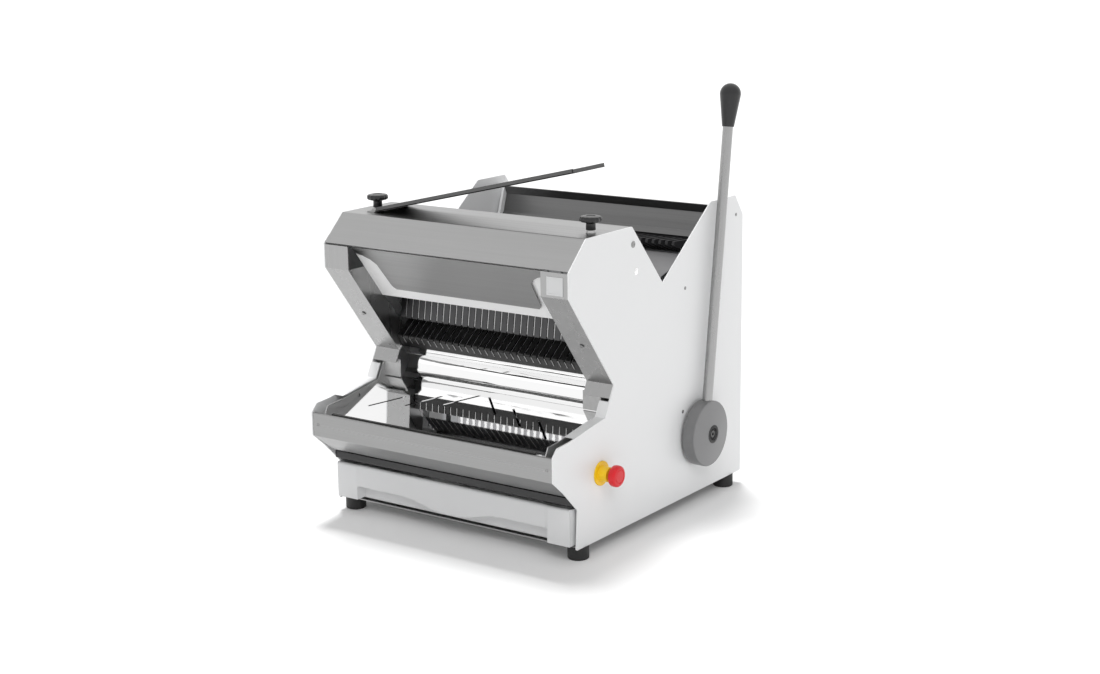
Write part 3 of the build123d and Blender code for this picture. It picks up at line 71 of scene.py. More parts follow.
def makeCamera(setup):
    yaw, pitch, roll = (radians(setup[k]) for k in ("yaw", "pitch", "roll"))
    forward = Vector((-sin(yaw) * cos(pitch), cos(yaw) * cos(pitch), -sin(pitch)))
    level = Vector((cos(yaw), sin(yaw), 0))
    upright = level.cross(forward)
    right = level * cos(roll) + upright * sin(roll)
    up = upright * cos(roll) - level * sin(roll)
    turn = Matrix((right, up, -forward)).transposed().to_4x4()
    data = bpy.data.cameras.new("camera")
    data.lens = setup["lens"]
    data.sensor_width = setup["sensor"]
    data.clip_end = setup["reach"]
    camera = bpy.data.objects.new("camera", data)
    bpy.context.scene.collection.objects.link(camera)
    camera.matrix_world = Matrix.Translation(place(*setup["position"])) @ turn
    bpy.context.scene.camera = camera
    return camera


print("camera")
makeCamera(cameraSetup)


def newGroup(name, inputs, outputs):
    tree = bpy.data.node_groups.new(name, "ShaderNodeTree")
    for socketName, kind, value in inputs:
        socket = tree.interface.new_socket(socketName, in_out="INPUT", socket_type=kind)
        if value is not None:
            socket.default_value = value
    for socketName, kind in outputs:
        tree.interface.new_socket(socketName, in_out="OUTPUT", socket_type=kind)
    return tree, tree.nodes.new("NodeGroupInput"), tree.nodes.new("NodeGroupOutput")


def makeBrushGroup():
    # long fine streaks: noise that is stretched along one direction
    tree, source, result = newGroup(
        "brushStreaks",
        [("Coordinates", "NodeSocketVector", None), ("Stretch", "NodeSocketVector", (2, 400, 400)),
         ("Detail", "NodeSocketFloat", 4.0)],
        [("Streak", "NodeSocketFloat"), ("Broad", "NodeSocketFloat")],
    )
    scale = tree.nodes.new("ShaderNodeVectorMath")
    scale.operation = "MULTIPLY"
    fine = tree.nodes.new("ShaderNodeTexNoise")
    fine.inputs["Scale"].default_value = 1.0
    broad = tree.nodes.new("ShaderNodeTexNoise")
    broad.inputs["Scale"].default_value = 0.12
    broad.inputs["Detail"].default_value = 2.0
    tree.links.new(source.outputs["Coordinates"], scale.inputs[0])
    tree.links.new(source.outputs["Stretch"], scale.inputs[1])
    tree.links.new(scale.outputs[0], fine.inputs["Vector"])
    tree.links.new(source.outputs["Detail"], fine.inputs["Detail"])
    tree.links.new(scale.outputs[0], broad.inputs["Vector"])
    tree.links.new(fine.outputs["Fac"], result.inputs["Streak"])
    tree.links.new(broad.outputs["Fac"], result.inputs["Broad"])
    return tree


def makeMottleGroup():
    # slow change over a surface with a finer grain on top
    tree, source, result = newGroup(
        "surfaceMottle",
        [("Coordinates", "NodeSocketVector", None), ("Large", "NodeSocketFloat", 8.0),
         ("Small", "NodeSocketFloat", 700.0)],
        [("Cloud", "NodeSocketFloat"), ("Grain", "NodeSocketFloat")],
    )
    for socketName, key, detail in (("Large", "Cloud", 3.0), ("Small", "Grain", 2.0)):
        noise = tree.nodes.new("ShaderNodeTexNoise")
        noise.inputs["Detail"].default_value = detail
        tree.links.new(source.outputs["Coordinates"], noise.inputs["Vector"])
        tree.links.new(source.outputs[socketName], noise.inputs["Scale"])
        tree.links.new(noise.outputs["Fac"], result.inputs[key])
    return tree


def makeDustGroup():
    # a thin film that settles on what faces up
    tree, source, result = newGroup(
        "settledDust",
        [("Coordinates", "NodeSocketVector", None), ("Amount", "NodeSocketFloat", 0.1)],
        [("Dust", "NodeSocketFloat")],
    )
    geometry = tree.nodes.new("ShaderNodeNewGeometry")
    split = tree.nodes.new("ShaderNodeSeparateXYZ")
    facing = tree.nodes.new("ShaderNodeMapRange")
    facing.inputs["From Min"].default_value = 0.5
    patches = tree.nodes.new("ShaderNodeTexNoise")
    patches.inputs["Scale"].default_value = 28.0
    patches.inputs["Detail"].default_value = 5.0
    spread = tree.nodes.new("ShaderNodeMath")
    spread.operation = "MULTIPLY"
    amount = tree.nodes.new("ShaderNodeMath")
    amount.operation = "MULTIPLY"
    tree.links.new(geometry.outputs["Normal"], split.inputs[0])
    tree.links.new(split.outputs["Z"], facing.inputs["Value"])
    tree.links.new(source.outputs["Coordinates"], patches.inputs["Vector"])
    tree.links.new(facing.outputs[0], spread.inputs[0])
    tree.links.new(patches.outputs["Fac"], spread.inputs[1])
    tree.links.new(spread.outputs[0], amount.inputs[0])
    tree.links.new(source.outputs["Amount"], amount.inputs[1])
    tree.links.new(amount.outputs[0], result.inputs["Dust"])
    return tree


brushStreaks = makeBrushGroup()
surfaceMottle = makeMottleGroup()
settledDust = makeDustGroup()


def startMaterial(name, metallic=0.0, coat=0.0, coatRoughness=0.1, specular=0.5):
    material = bpy.data.materials.new(name)
    material.use_nodes = True
    tree = material.node_tree
    shader = tree.nodes["Principled BSDF"]
    shader.inputs["Metallic"].default_value = metallic
    shader.inputs["Coat Weight"].default_value = coat
    shader.inputs["Coat Roughness"].default_value = coatRoughness
    shader.inputs["Specular IOR Level"].default_value = specular
    coordinates = tree.nodes.new("ShaderNodeTexCoord").outputs["Object"]
    return material, tree, shader, coordinates


def placeGroup(tree, group, coordinates, **values):
    node = tree.nodes.new("ShaderNodeGroup")
    node.node_tree = group
    tree.links.new(coordinates, node.inputs["Coordinates"])
    for key, value in values.items():
        node.inputs[key].default_value = value
    return node


def blendColour(tree, mask, first, second):
    mix = tree.nodes.new("ShaderNodeMix")
    mix.data_type = "RGBA"
    tree.links.new(mask, mix.inputs[0])
    for socket, value in ((mix.inputs[6], first), (mix.inputs[7], second)):
        if isinstance(value, bpy.types.NodeSocket):
            tree.links.new(value, socket)
        else:
            socket.default_value = (*value, 1.0)
    return mix.outputs[2]


def spreadValue(tree, value, low, high, fromLow=0.3, fromHigh=0.7):
    node = tree.nodes.new("ShaderNodeMapRange")
    node.inputs["From Min"].default_value = fromLow
    node.inputs["From Max"].default_value = fromHigh
    node.inputs["To Min"].default_value = low
    node.inputs["To Max"].default_value = high
    tree.links.new(value, node.inputs["Value"])
    return node.outputs[0]


def addBump(tree, shader, height, strength, distance):
    bump = tree.nodes.new("ShaderNodeBump")
    bump.inputs["Strength"].default_value = strength
    bump.inputs["Distance"].default_value = distance
    tree.links.new(height, bump.inputs["Height"])
    tree.links.new(bump.outputs["Normal"], shader.inputs["Normal"])


def brushedMetal(name, light, dark, roughness, stretch, depth, dust=0.05):
    material, tree, shader, coordinates = startMaterial(name, metallic=1.0)
    streaks = placeGroup(tree, brushStreaks, coordinates, Stretch=stretch)
    film = placeGroup(tree, settledDust, coordinates, Amount=dust)
    colour = blendColour(tree, streaks.outputs["Streak"], dark, light)
    colour = blendColour(tree, film.outputs["Dust"], colour, (0.75, 0.73, 0.7))
    tree.links.new(colour, shader.inputs["Base Color"])
    rough = spreadValue(tree, streaks.outputs["Broad"], roughness * 0.85, roughness * 1.2)
    tree.links.new(rough, shader.inputs["Roughness"])
    addBump(tree, shader, streaks.outputs["Streak"], depth, 0.0004)
    return material


def polishedMetal(name, colour, roughness, stretch, depth):
    material, tree, shader, coordinates = startMaterial(name, metallic=1.0)
    streaks = placeGroup(tree, brushStreaks, coordinates, Stretch=stretch)
    cloud = placeGroup(tree, surfaceMottle, coordinates, Large=11.0, Small=500.0)
    worn = tuple(c * 0.9 for c in colour)
    tree.links.new(blendColour(tree, cloud.outputs["Cloud"], worn, colour), shader.inputs["Base Color"])
    rough = spreadValue(tree, cloud.outputs["Cloud"], roughness * 0.7, roughness * 1.4)
    tree.links.new(rough, shader.inputs["Roughness"])
    addBump(tree, shader, streaks.outputs["Streak"], depth, 0.0002)
    return material


def rippledMirror(name, colour, roughness, rippleScale, rippleDepth):
    # thin bright sheet that isn't quite flat, so what it mirrors runs in soft bands
    material, tree, shader, coordinates = startMaterial(name, metallic=1.0)
    streaks = placeGroup(tree, brushStreaks, coordinates, Stretch=rippleScale)
    cloud = placeGroup(tree, surfaceMottle, coordinates, Large=11.0, Small=500.0)
    rough = spreadValue(tree, cloud.outputs["Cloud"], roughness * 0.7, roughness * 1.4)
    tree.links.new(rough, shader.inputs["Roughness"])
    shader.inputs["Base Color"].default_value = (*colour, 1.0)
    addBump(tree, shader, streaks.outputs["Streak"], 0.5, rippleDepth)
    return material


def sprayedPaint(name, colour, roughness, peel, peelScale=900.0, metallic=0.0, coat=0.15, dust=0.06):
    material, tree, shader, coordinates = startMaterial(
        name, metallic=metallic, coat=coat, coatRoughness=0.25
    )
    mottle = placeGroup(tree, surfaceMottle, coordinates, Large=6.0, Small=peelScale)
    film = placeGroup(tree, settledDust, coordinates, Amount=dust)
    shade = tuple(c * 0.965 for c in colour)
    base = blendColour(tree, mottle.outputs["Cloud"], shade, colour)
    base = blendColour(tree, film.outputs["Dust"], base, (0.6, 0.57, 0.52))
    tree.links.new(base, shader.inputs["Base Color"])
    rough = spreadValue(tree, mottle.outputs["Cloud"], roughness * 0.85, roughness * 1.15)
    tree.links.new(rough, shader.inputs["Roughness"])
    addBump(tree, shader, mottle.outputs["Grain"], peel, 0.0003)
    return material


def mouldedPlastic(name, colour, roughness, grain, grainScale=1400.0, coat=0.0, dust=0.05):
    material, tree, shader, coordinates = startMaterial(name, coat=coat, coatRoughness=0.08)
    mottle = placeGroup(tree, surfaceMottle, coordinates, Large=14.0, Small=grainScale)
    film = placeGroup(tree, settledDust, coordinates, Amount=dust)
    shade = tuple(c * 0.93 for c in colour)
    base = blendColour(tree, mottle.outputs["Cloud"], shade, colour)
    base = blendColour(tree, film.outputs["Dust"], base, (0.5, 0.48, 0.45))
    tree.links.new(base, shader.inputs["Base Color"])
    rough = spreadValue(tree, mottle.outputs["Cloud"], roughness * 0.85, roughness * 1.2)
    tree.links.new(rough, shader.inputs["Roughness"])
    addBump(tree, shader, mottle.outputs["Grain"], grain, 0.0002)
    return material


def castMetal(name, colour, roughness):
    material, tree, shader, coordinates = startMaterial(name, metallic=1.0)
    mottle = placeGroup(tree, surfaceMottle, coordinates, Large=30.0, Small=420.0)
    pitted = tuple(c * 0.78 for c in colour)
    tree.links.new(blendColour(tree, mottle.outputs["Grain"], pitted, colour), shader.inputs["Base Color"])
    rough = spreadValue(tree, mottle.outputs["Cloud"], roughness * 0.8, roughness * 1.25)
    tree.links.new(rough, shader.inputs["Roughness"])
    addBump(tree, shader, mottle.outputs["Grain"], 0.35, 0.0006)
    return material


print("materials")
alongWidth = (3, 900, 900)
alongDepth = (900, 3, 900)
alongHeight = (900, 900, 3)
finish = {
    "white_paint": sprayedPaint("whitePowderCoat", (0.84, 0.845, 0.85), 0.38, 0.12),
    "satin_steel": brushedMetal(
        "satinSteel", (0.43, 0.43, 0.43), (0.37, 0.37, 0.37), 0.34, alongWidth, 0.12
    ),
    "polished_steel": polishedMetal("polishedSteel", (0.93, 0.93, 0.93), 0.06, alongWidth, 0.03),
    "cast_aluminium": castMetal("castAluminium", (0.5, 0.51, 0.52), 0.42),
    "grey_paint": sprayedPaint("darkGreyPaint", (0.09, 0.09, 0.093), 0.4, 0.15),
    "hub_paint": sprayedPaint("hammeredGrey", (0.2, 0.2, 0.203), 0.36, 0.3, peelScale=520.0, metallic=0.35),
    "black_plastic": mouldedPlastic("glossBlack", (0.008, 0.008, 0.009), 0.3, 0.03, coat=0.1),
    "dark_plastic": mouldedPlastic("darkPlastic", (0.03, 0.03, 0.032), 0.45, 0.12),
    "white_plastic": mouldedPlastic("whiteMoulding", (0.74, 0.745, 0.75), 0.45, 0.1, dust=0.03),
    "red_plastic": mouldedPlastic("stopRed", (0.72, 0.008, 0.016), 0.38, 0.03),
    "yellow_plastic": mouldedPlastic("collarYellow", (0.93, 0.6, 0.006), 0.4, 0.04),
    "bronze": castMetal("bushBronze", (0.55, 0.38, 0.16), 0.35),
    "rubber": mouldedPlastic("footRubber", (0.018, 0.018, 0.018), 0.6, 0.2, dust=0.08),
    "blade_steel": brushedMetal(
        "groundBladeSteel", (0.5, 0.5, 0.51), (0.34, 0.34, 0.35), 0.24, alongHeight, 0.08, dust=0.0
    ),
}
special = {
    "front_posts": brushedMetal("postSteel", (0.4, 0.4, 0.4), (0.34, 0.34, 0.34), 0.3, alongHeight, 0.08),
    "deflector": brushedMetal(
        "deflectorSteel", (0.31, 0.31, 0.31), (0.26, 0.26, 0.26), 0.36, alongWidth, 0.12
    ),
    "front_trim": brushedMetal("trimSteel", (0.35, 0.35, 0.35), (0.3, 0.3, 0.3), 0.32, alongWidth, 0.1),
    "chute": rippledMirror("chuteMirror", (0.95, 0.95, 0.95), 0.04, (2.2, 9.0, 9.0), 0.004),
    "tray": polishedMetal("trayMirror", (0.95, 0.95, 0.95), 0.03, alongWidth, 0.02),
    # very dark copy of steel for the comb: painted shade, standing for the shade under the hood
    "hold_down_comb": brushedMetal(
        "combShadedSteel", (0.1, 0.1, 0.102), (0.06, 0.06, 0.062), 0.36, alongHeight, 0.1
    ),
    "bed": brushedMetal("bedSteel", (0.06, 0.06, 0.06), (0.04, 0.04, 0.04), 0.36, alongDepth, 0.1),
    "nose_liners": brushedMetal("linerSteel", (0.56, 0.56, 0.56), (0.5, 0.5, 0.5), 0.5, alongDepth, 0.05),
    "trough_floor": sprayedPaint("troughGrey", (0.12, 0.12, 0.125), 0.45, 0.15),
    # darker copy of the satin steel for the pusher bar: painted shade for the bar seen inside, through the
    # notch in the side panel
    "pusher_bar": brushedMetal("pusherShadedSteel", (0.2, 0.2, 0.2), (0.15, 0.15, 0.15), 0.35, alongWidth, 0.1),
    "hood_flap": brushedMetal(
        "flapSteel", (0.13, 0.13, 0.13), (0.09, 0.09, 0.09), 0.35, alongWidth, 0.1, dust=0.0
    ),
    # near-black paint on the crossbar is painted shade, standing for the shaded gap under the front trim
    "front_crossbar": sprayedPaint("crossbarShadeBlack", (0.02, 0.02, 0.021), 0.5, 0.1),
    # whiter than the panels' paint: painted light on the baffle, which lies in the overhead lamp's shadow
    "baffle": sprayedPaint("baffleBrightenedWhite", (0.93, 0.93, 0.93), 0.4, 0.1, dust=0.0),
    "hub_screw": castMetal("screwHead", (0.13, 0.13, 0.13), 0.4),
    "lever_tube": brushedMetal("tubeSteel", (0.4, 0.4, 0.4), (0.33, 0.33, 0.33), 0.28, alongHeight, 0.06),
}


def materialFor(node):
    return special.get(node, finish[slotOf[node]])


for nodeName, nodeObject in nodes.items():
    nodeObject.data.materials.clear()
    nodeObject.data.materials.append(materialFor(nodeName))


def addPiece(name, mesh, material, body):
    piece = bpy.data.objects.new(name, mesh)
    bpy.context.scene.collection.objects.link(piece)
    piece.data.materials.clear()
    piece.data.materials.append(material)
    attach(piece, body)
    return piece


# Folded and moulded pieces get the small round that their edges have
roundedEdges = {
    "side_panel_right": {"width": 0.7, "segments": 2},
    "side_panel_left": {"width": 0.7, "segments": 2},
    "hood": {"width": 0.5, "segments": 2},
    "front_posts": {"width": 0.5, "segments": 2},
    "front_trim": {"width": 0.5, "segments": 2},
    "lever_hub": {"width": 0.8, "segments": 2},
    "swing_arms": {"width": 0.6, "segments": 2},
    "estop_base": {"width": 0.6, "segments": 2},
}
mergeDistance = 0.00001
flatAngle = 0.5
bevelAngle = 32.0
smoothAngle = 40.0


def roundEdges(node, width, segments):
    mesh = nodes[node].data.copy()
    work = bmesh.new()
    work.from_mesh(mesh)
    bmesh.ops.remove_doubles(work, verts=work.verts, dist=mergeDistance)
    bmesh.ops.dissolve_limit(work, angle_limit=radians(flatAngle), verts=work.verts, edges=work.edges)
    for face in work.faces:
        face.smooth = True
    work.to_mesh(mesh)
    work.free()
    piece = addPiece(node + "Rounded", mesh, materialFor(node), bodyOf[node])
    bevel = piece.modifiers.new("roundedEdges", "BEVEL")
    bevel.width = width / 1000.0
    bevel.segments = segments
    bevel.limit_method = "ANGLE"
    bevel.angle_limit = radians(bevelAngle)
    level = piece.modifiers.new("flatFaces", "WEIGHTED_NORMAL")
    level.mode = "FACE_AREA"
    level.weight = 100
    level.keep_sharp = True
    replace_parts(piece, node)


print("rounded edges")
for nodeName, edge in roundedEdges.items():
    roundEdges(nodeName, **edge)


# Fasteners: one node tree sets a screw with a washer and a hexagon socket on every point
def addNode(tree, kind, **settings):
    node = tree.nodes.new(kind)
    for key, value in settings.items():
        setattr(node, key, value)
    return node


def geometryTree(name, inputs):
    tree = bpy.data.node_groups.new(name, "GeometryNodeTree")
    tree.interface.new_socket("Geometry", in_out="INPUT", socket_type="NodeSocketGeometry")
    for socketName, kind, value in inputs:
        socket = tree.interface.new_socket(socketName, in_out="INPUT", socket_type=kind)
        if value is not None:
            socket.default_value = value
    tree.interface.new_socket("Geometry", in_out="OUTPUT", socket_type="NodeSocketGeometry")
    return tree, tree.nodes.new("NodeGroupInput"), tree.nodes.new("NodeGroupOutput")


def lift(tree, geometry, height):
    move = addNode(tree, "GeometryNodeTransform")
    offset = addNode(tree, "ShaderNodeCombineXYZ")
    tree.links.new(height, offset.inputs["Z"])
    tree.links.new(offset.outputs[0], move.inputs["Translation"])
    tree.links.new(geometry, move.inputs["Geometry"])
    return move.outputs[0]


def half(tree, value):
    node = addNode(tree, "ShaderNodeMath", operation="MULTIPLY")
    node.inputs[1].default_value = 0.5
    tree.links.new(value, node.inputs[0])
    return node.outputs[0]


def finishTree(tree, geometry, source, result):
    realize = addNode(tree, "GeometryNodeRealizeInstances")
    paint = addNode(tree, "GeometryNodeSetMaterial")
    tree.links.new(geometry, realize.inputs[0])
    tree.links.new(realize.outputs[0], paint.inputs["Geometry"])
    tree.links.new(source.outputs["Material"], paint.inputs["Material"])
    tree.links.new(paint.outputs[0], result.inputs["Geometry"])


roundSides, hexagonSides, beadSides = 28, 6, 20
crownShare = 0.82


def makeScrewTree():
    tree, source, result = geometryTree("socketScrews", [
        ("Head Radius", "NodeSocketFloat", 0.0045), ("Head Height", "NodeSocketFloat", 0.002),
        ("Socket Radius", "NodeSocketFloat", 0.0024), ("Washer Radius", "NodeSocketFloat", 0.0065),
        ("Washer Height", "NodeSocketFloat", 0.0006), ("Material", "NodeSocketMaterial", None),
    ])
    head = addNode(tree, "GeometryNodeMeshCone")
    head.inputs["Vertices"].default_value = roundSides
    crown = addNode(tree, "ShaderNodeMath", operation="MULTIPLY")
    crown.inputs[1].default_value = crownShare
    socket = addNode(tree, "GeometryNodeMeshCylinder")
    socket.inputs["Vertices"].default_value = hexagonSides
    washer = addNode(tree, "GeometryNodeMeshCylinder")
    washer.inputs["Vertices"].default_value = roundSides
    cut = addNode(tree, "GeometryNodeMeshBoolean", operation="DIFFERENCE")
    join = addNode(tree, "GeometryNodeJoinGeometry")
    spread = addNode(tree, "GeometryNodeInstanceOnPoints")
    facing = addNode(tree, "GeometryNodeInputNamedAttribute", data_type="FLOAT_VECTOR")
    facing.inputs["Name"].default_value = "facing"
    size = addNode(tree, "GeometryNodeInputNamedAttribute", data_type="FLOAT")
    size.inputs["Name"].default_value = "size"
    turn = addNode(tree, "FunctionNodeAlignRotationToVector", axis="Z")
    link = tree.links.new
    link(source.outputs["Head Radius"], crown.inputs[0])
    link(crown.outputs[0], head.inputs["Radius Top"])
    link(source.outputs["Head Radius"], head.inputs["Radius Bottom"])
    link(source.outputs["Head Height"], head.inputs["Depth"])
    link(source.outputs["Socket Radius"], socket.inputs["Radius"])
    link(source.outputs["Head Height"], socket.inputs["Depth"])
    link(source.outputs["Washer Radius"], washer.inputs["Radius"])
    link(source.outputs["Washer Height"], washer.inputs["Depth"])
    raised = lift(tree, socket.outputs["Mesh"], source.outputs["Head Height"])
    link(head.outputs["Mesh"], cut.inputs["Mesh 1"])
    link(raised, cut.inputs["Mesh 2"])
    seated = lift(tree, washer.outputs["Mesh"], half(tree, source.outputs["Washer Height"]))
    link(cut.outputs["Mesh"], join.inputs[0])
    link(seated, join.inputs[0])
    link(source.outputs["Geometry"], spread.inputs["Points"])
    link(join.outputs[0], spread.inputs["Instance"])
    link(facing.outputs["Attribute"], turn.inputs["Vector"])
    link(turn.outputs[0], spread.inputs["Rotation"])
    link(size.outputs["Attribute"], spread.inputs["Scale"])
    finishTree(tree, spread.outputs[0], source, result)
    return tree


def pointMesh(name, spots):
    mesh = bpy.data.meshes.new(name)
    mesh.from_pydata([place(*spot) for spot, direction, scale in spots], [], [])
    mesh.attributes.new("facing", "FLOAT_VECTOR", "POINT")
    mesh.attributes.new("size", "FLOAT", "POINT")
    for number, (spot, direction, scale) in enumerate(spots):
        mesh.attributes["facing"].data[number].vector = direction
        mesh.attributes["size"].data[number].value = scale
    return mesh


def growMesh(name, tree, points, **values):
    # runs a tree on its points and keeps what it makes as a plain mesh
    carrier = bpy.data.objects.new(name, points)
    bpy.context.scene.collection.objects.link(carrier)
    modifier = carrier.modifiers.new(name, "NODES")
    modifier.node_group = tree
    sockets = [item for item in tree.interface.items_tree if item.in_out == "INPUT"]
    identifiers = {item.name: item.identifier for item in sockets}
    for key, value in values.items():
        modifier[identifiers[key]] = value
    result = bpy.data.meshes.new_from_object(carrier.evaluated_get(bpy.context.evaluated_depsgraph_get()))
    carrier.modifiers.remove(modifier)
    bpy.data.objects.remove(carrier)
    return result


panelFace = 285.0
toTheRight, toTheLeft, upward = (1, 0, 0), (-1, 0, 0), (0, 0, 1)
forward, backward = (0, -1, 0), (0, 1, 0)
postFacing = (0, -0.795, -0.606)
panelScrews = {"large": [(260, 557)], "small": [(442, 444), (634, 559), (435, 201)]}
footScrews = [(x, y, 27) for x in (-268, 268) for y in (100, 621)]
screwScale = {
    "foot": 1.5, "large": 1.0, "small": 0.55,
    "trim": 0.75, "post": 0.7, "liner": 0.6, "hinge": 0.4, "cover": 0.8,
}
frontScrews = {"trim": (270, 1.6, 192), "post": (258, 130.8, 388.4), "liner": (259.2, 110, 228)}
hingeScrews = {"x": -234, "depths": (138, 146, 222, 230), "z": 592}
coverScrews = {"across": (-240, -80, 80, 240), "y": 658.6, "heights": (66, 526)}


def panelSpots():
    spots = [(spot, upward, screwScale["foot"]) for spot in footScrews]
    for x, direction in ((panelFace, toTheRight), (-panelFace, toTheLeft)):
        for kind, places in panelScrews.items():
            spots += [((x, y, z), direction, screwScale[kind]) for y, z in places]
    return spots


def fittingSpots():
    spots = []
    for hand in (-1, 1):
        facings = {"trim": forward, "post": postFacing, "liner": (-hand, 0, 0)}
        for kind, (x, y, z) in frontScrews.items():
            spots.append(((hand * x, y, z), facings[kind], screwScale[kind]))
    for y in hingeScrews["depths"]:
        spots.append(((hingeScrews["x"], y, hingeScrews["z"]), upward, screwScale["hinge"]))
    for x in coverScrews["across"]:
        for z in coverScrews["heights"]:
            spots.append(((x, coverScrews["y"], z), backward, screwScale["cover"]))
    return spots


print("fasteners")
screwTree = makeScrewTree()
screwSteel = brushedMetal(
    "screwSteel", (0.42, 0.42, 0.42), (0.3, 0.3, 0.3), 0.3, alongHeight, 0.05, dust=0.0
)
screwSets = (("panelScrews", panelSpots(), ["screws"]), ("fittingScrews", fittingSpots(), []))
for name, spots, replaced in screwSets:
    screwMesh = growMesh(name, screwTree, pointMesh(name + "Points", spots), Material=screwSteel)
    screwPiece = addPiece(name, screwMesh, screwSteel, "machine")
    if replaced:
        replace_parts(screwPiece, *replaced)


def rowOfPoints(tree, source, countName, axis):
    # every start point grows a row of points, one pitch apart along an axis
    row = addNode(tree, "GeometryNodeMeshLine", mode="OFFSET")
    step = addNode(tree, "ShaderNodeCombineXYZ")
    starts = addNode(tree, "GeometryNodeInstanceOnPoints")
    spread = addNode(tree, "GeometryNodeRealizeInstances")
    link = tree.links.new
    link(source.outputs[countName], row.inputs["Count"])
    link(source.outputs["Pitch"], step.inputs[axis])
    link(step.outputs[0], row.inputs["Offset"])
    link(source.outputs["Geometry"], starts.inputs["Points"])
    link(row.outputs["Mesh"], starts.inputs["Instance"])
    link(starts.outputs[0], spread.inputs[0])
    return spread.outputs[0]


def makeLouvreTree():
    tree, source, result = geometryTree("louvreHoods", [
        ("Length", "NodeSocketFloat", 0.116), ("Radius", "NodeSocketFloat", 0.0042),
        ("Pitch", "NodeSocketFloat", 0.014), ("Rows", "NodeSocketInt", 6),
        ("Material", "NodeSocketMaterial", None),
    ])
    bead = addNode(tree, "GeometryNodeMeshCylinder")
    bead.inputs["Vertices"].default_value = beadSides
    lay = addNode(tree, "GeometryNodeTransform")
    lay.inputs["Rotation"].default_value = (0, pi / 2, 0)
    beads = addNode(tree, "GeometryNodeInstanceOnPoints")
    link = tree.links.new
    link(source.outputs["Radius"], bead.inputs["Radius"])
    link(source.outputs["Length"], bead.inputs["Depth"])
    link(bead.outputs["Mesh"], lay.inputs["Geometry"])
    link(rowOfPoints(tree, source, "Rows", "Z"), beads.inputs["Points"])
    link(lay.outputs[0], beads.inputs["Instance"])
    finishTree(tree, beads.outputs[0], source, result)
    return tree


louvre = {"middles": (-142.5, 142.5), "face": 658.4, "lowest": 187.5}
louvreSpots = [((x, louvre["face"], louvre["lowest"]), backward, 1.0) for x in louvre["middles"]]
louvreMesh = growMesh(
    "louvreHoods", makeLouvreTree(), pointMesh("louvrePoints", louvreSpots), Material=finish["white_paint"]
)
addPiece("louvreHoods", louvreMesh, finish["white_paint"], "machine")


# Painted highlights along the slots in the bed, its lip and the hold-down comb: one bright ribbon beside each
# slot stands for light caught at the slot
bedAngle = 36.7
bladeFoot = (291.0, 415.05)
slotPitch, slotCount = 15.5, 28
combAngle = 81.3


def bedPoint(behind, above):
    angle = radians(bedAngle)
    y = bladeFoot[0] + behind * cos(angle) - above * sin(angle)
    return y, bladeFoot[1] + behind * sin(angle) + above * cos(angle)


def makeRibbonTree():
    tree, source, result = geometryTree("paintedSlotGlints", [
        ("Count", "NodeSocketInt", 28), ("Pitch", "NodeSocketFloat", 0.0155),
        ("Width", "NodeSocketFloat", 0.0009), ("Length", "NodeSocketFloat", 0.1),
        ("Height", "NodeSocketFloat", 0.0008), ("Tilt", "NodeSocketFloat", 0.6),
        ("Material", "NodeSocketMaterial", None),
    ])
    ribbon = addNode(tree, "GeometryNodeMeshCube")
    shape = addNode(tree, "ShaderNodeCombineXYZ")
    lean = addNode(tree, "ShaderNodeCombineXYZ")
    lay = addNode(tree, "GeometryNodeTransform")
    ribbons = addNode(tree, "GeometryNodeInstanceOnPoints")
    link = tree.links.new
    link(source.outputs["Width"], shape.inputs["X"])
    link(source.outputs["Length"], shape.inputs["Y"])
    link(source.outputs["Height"], shape.inputs["Z"])
    link(shape.outputs[0], ribbon.inputs["Size"])
    link(source.outputs["Tilt"], lean.inputs["X"])
    link(lean.outputs[0], lay.inputs["Rotation"])
    link(ribbon.outputs["Mesh"], lay.inputs["Geometry"])
    link(rowOfPoints(tree, source, "Count", "X"), ribbons.inputs["Points"])
    link(lay.outputs[0], ribbons.inputs["Instance"])
    finishTree(tree, ribbons.outputs[0], source, result)
    return tree


paintedSlotGlints = {
    "bedTopGlints": {
        "middle": bedPoint(-65, 0.4), "length": 121, "tilt": bedAngle, "beside": 2.0, "body": "machine",
    },
    "bedLipGlints": {
        "middle": bedPoint(-129.4, -9), "length": 16, "tilt": bedAngle - 90, "beside": 2.0, "body": "machine",
    },
    "combGlints": {
        "middle": (202.2, 394), "length": 36, "tilt": combAngle, "beside": 1.6, "body": "hold_down",
    },
}
# near-white steel for the ribbons: these are painted highlights, not real edges of the parts
paintedGlintSteel = brushedMetal("paintedGlintSteel", (0.85, 0.85, 0.85), (0.7, 0.7, 0.7), 0.3, alongHeight, 0.03, dust=0.0)
ribbonTree = makeRibbonTree()
for name, edge in paintedSlotGlints.items():
    start = -slotPitch * (slotCount - 1) / 2 + edge["beside"]
    spot = [((start, *edge["middle"]), upward, 1.0)]
    glintMesh = growMesh(
        name, ribbonTree, pointMesh(name + "Points", spot), Material=paintedGlintSteel,
        Length=edge["length"] / 1000.0, Tilt=radians(edge["tilt"]),
    )
    addPiece(name, glintMesh, paintedGlintSteel, edge["body"])


def closeMesh(name, work, sharpAngle=None):
    # a mesh with a sharp angle is smooth below it, and one without has flat faces
    bmesh.ops.recalc_face_normals(work, faces=work.faces)
    for face in work.faces:
        face.smooth = sharpAngle is not None
    mesh = bpy.data.meshes.new(name)
    work.to_mesh(mesh)
    work.free()
    if sharpAngle is not None:
        mesh.set_sharp_from_angle(angle=radians(sharpAngle))
    return mesh


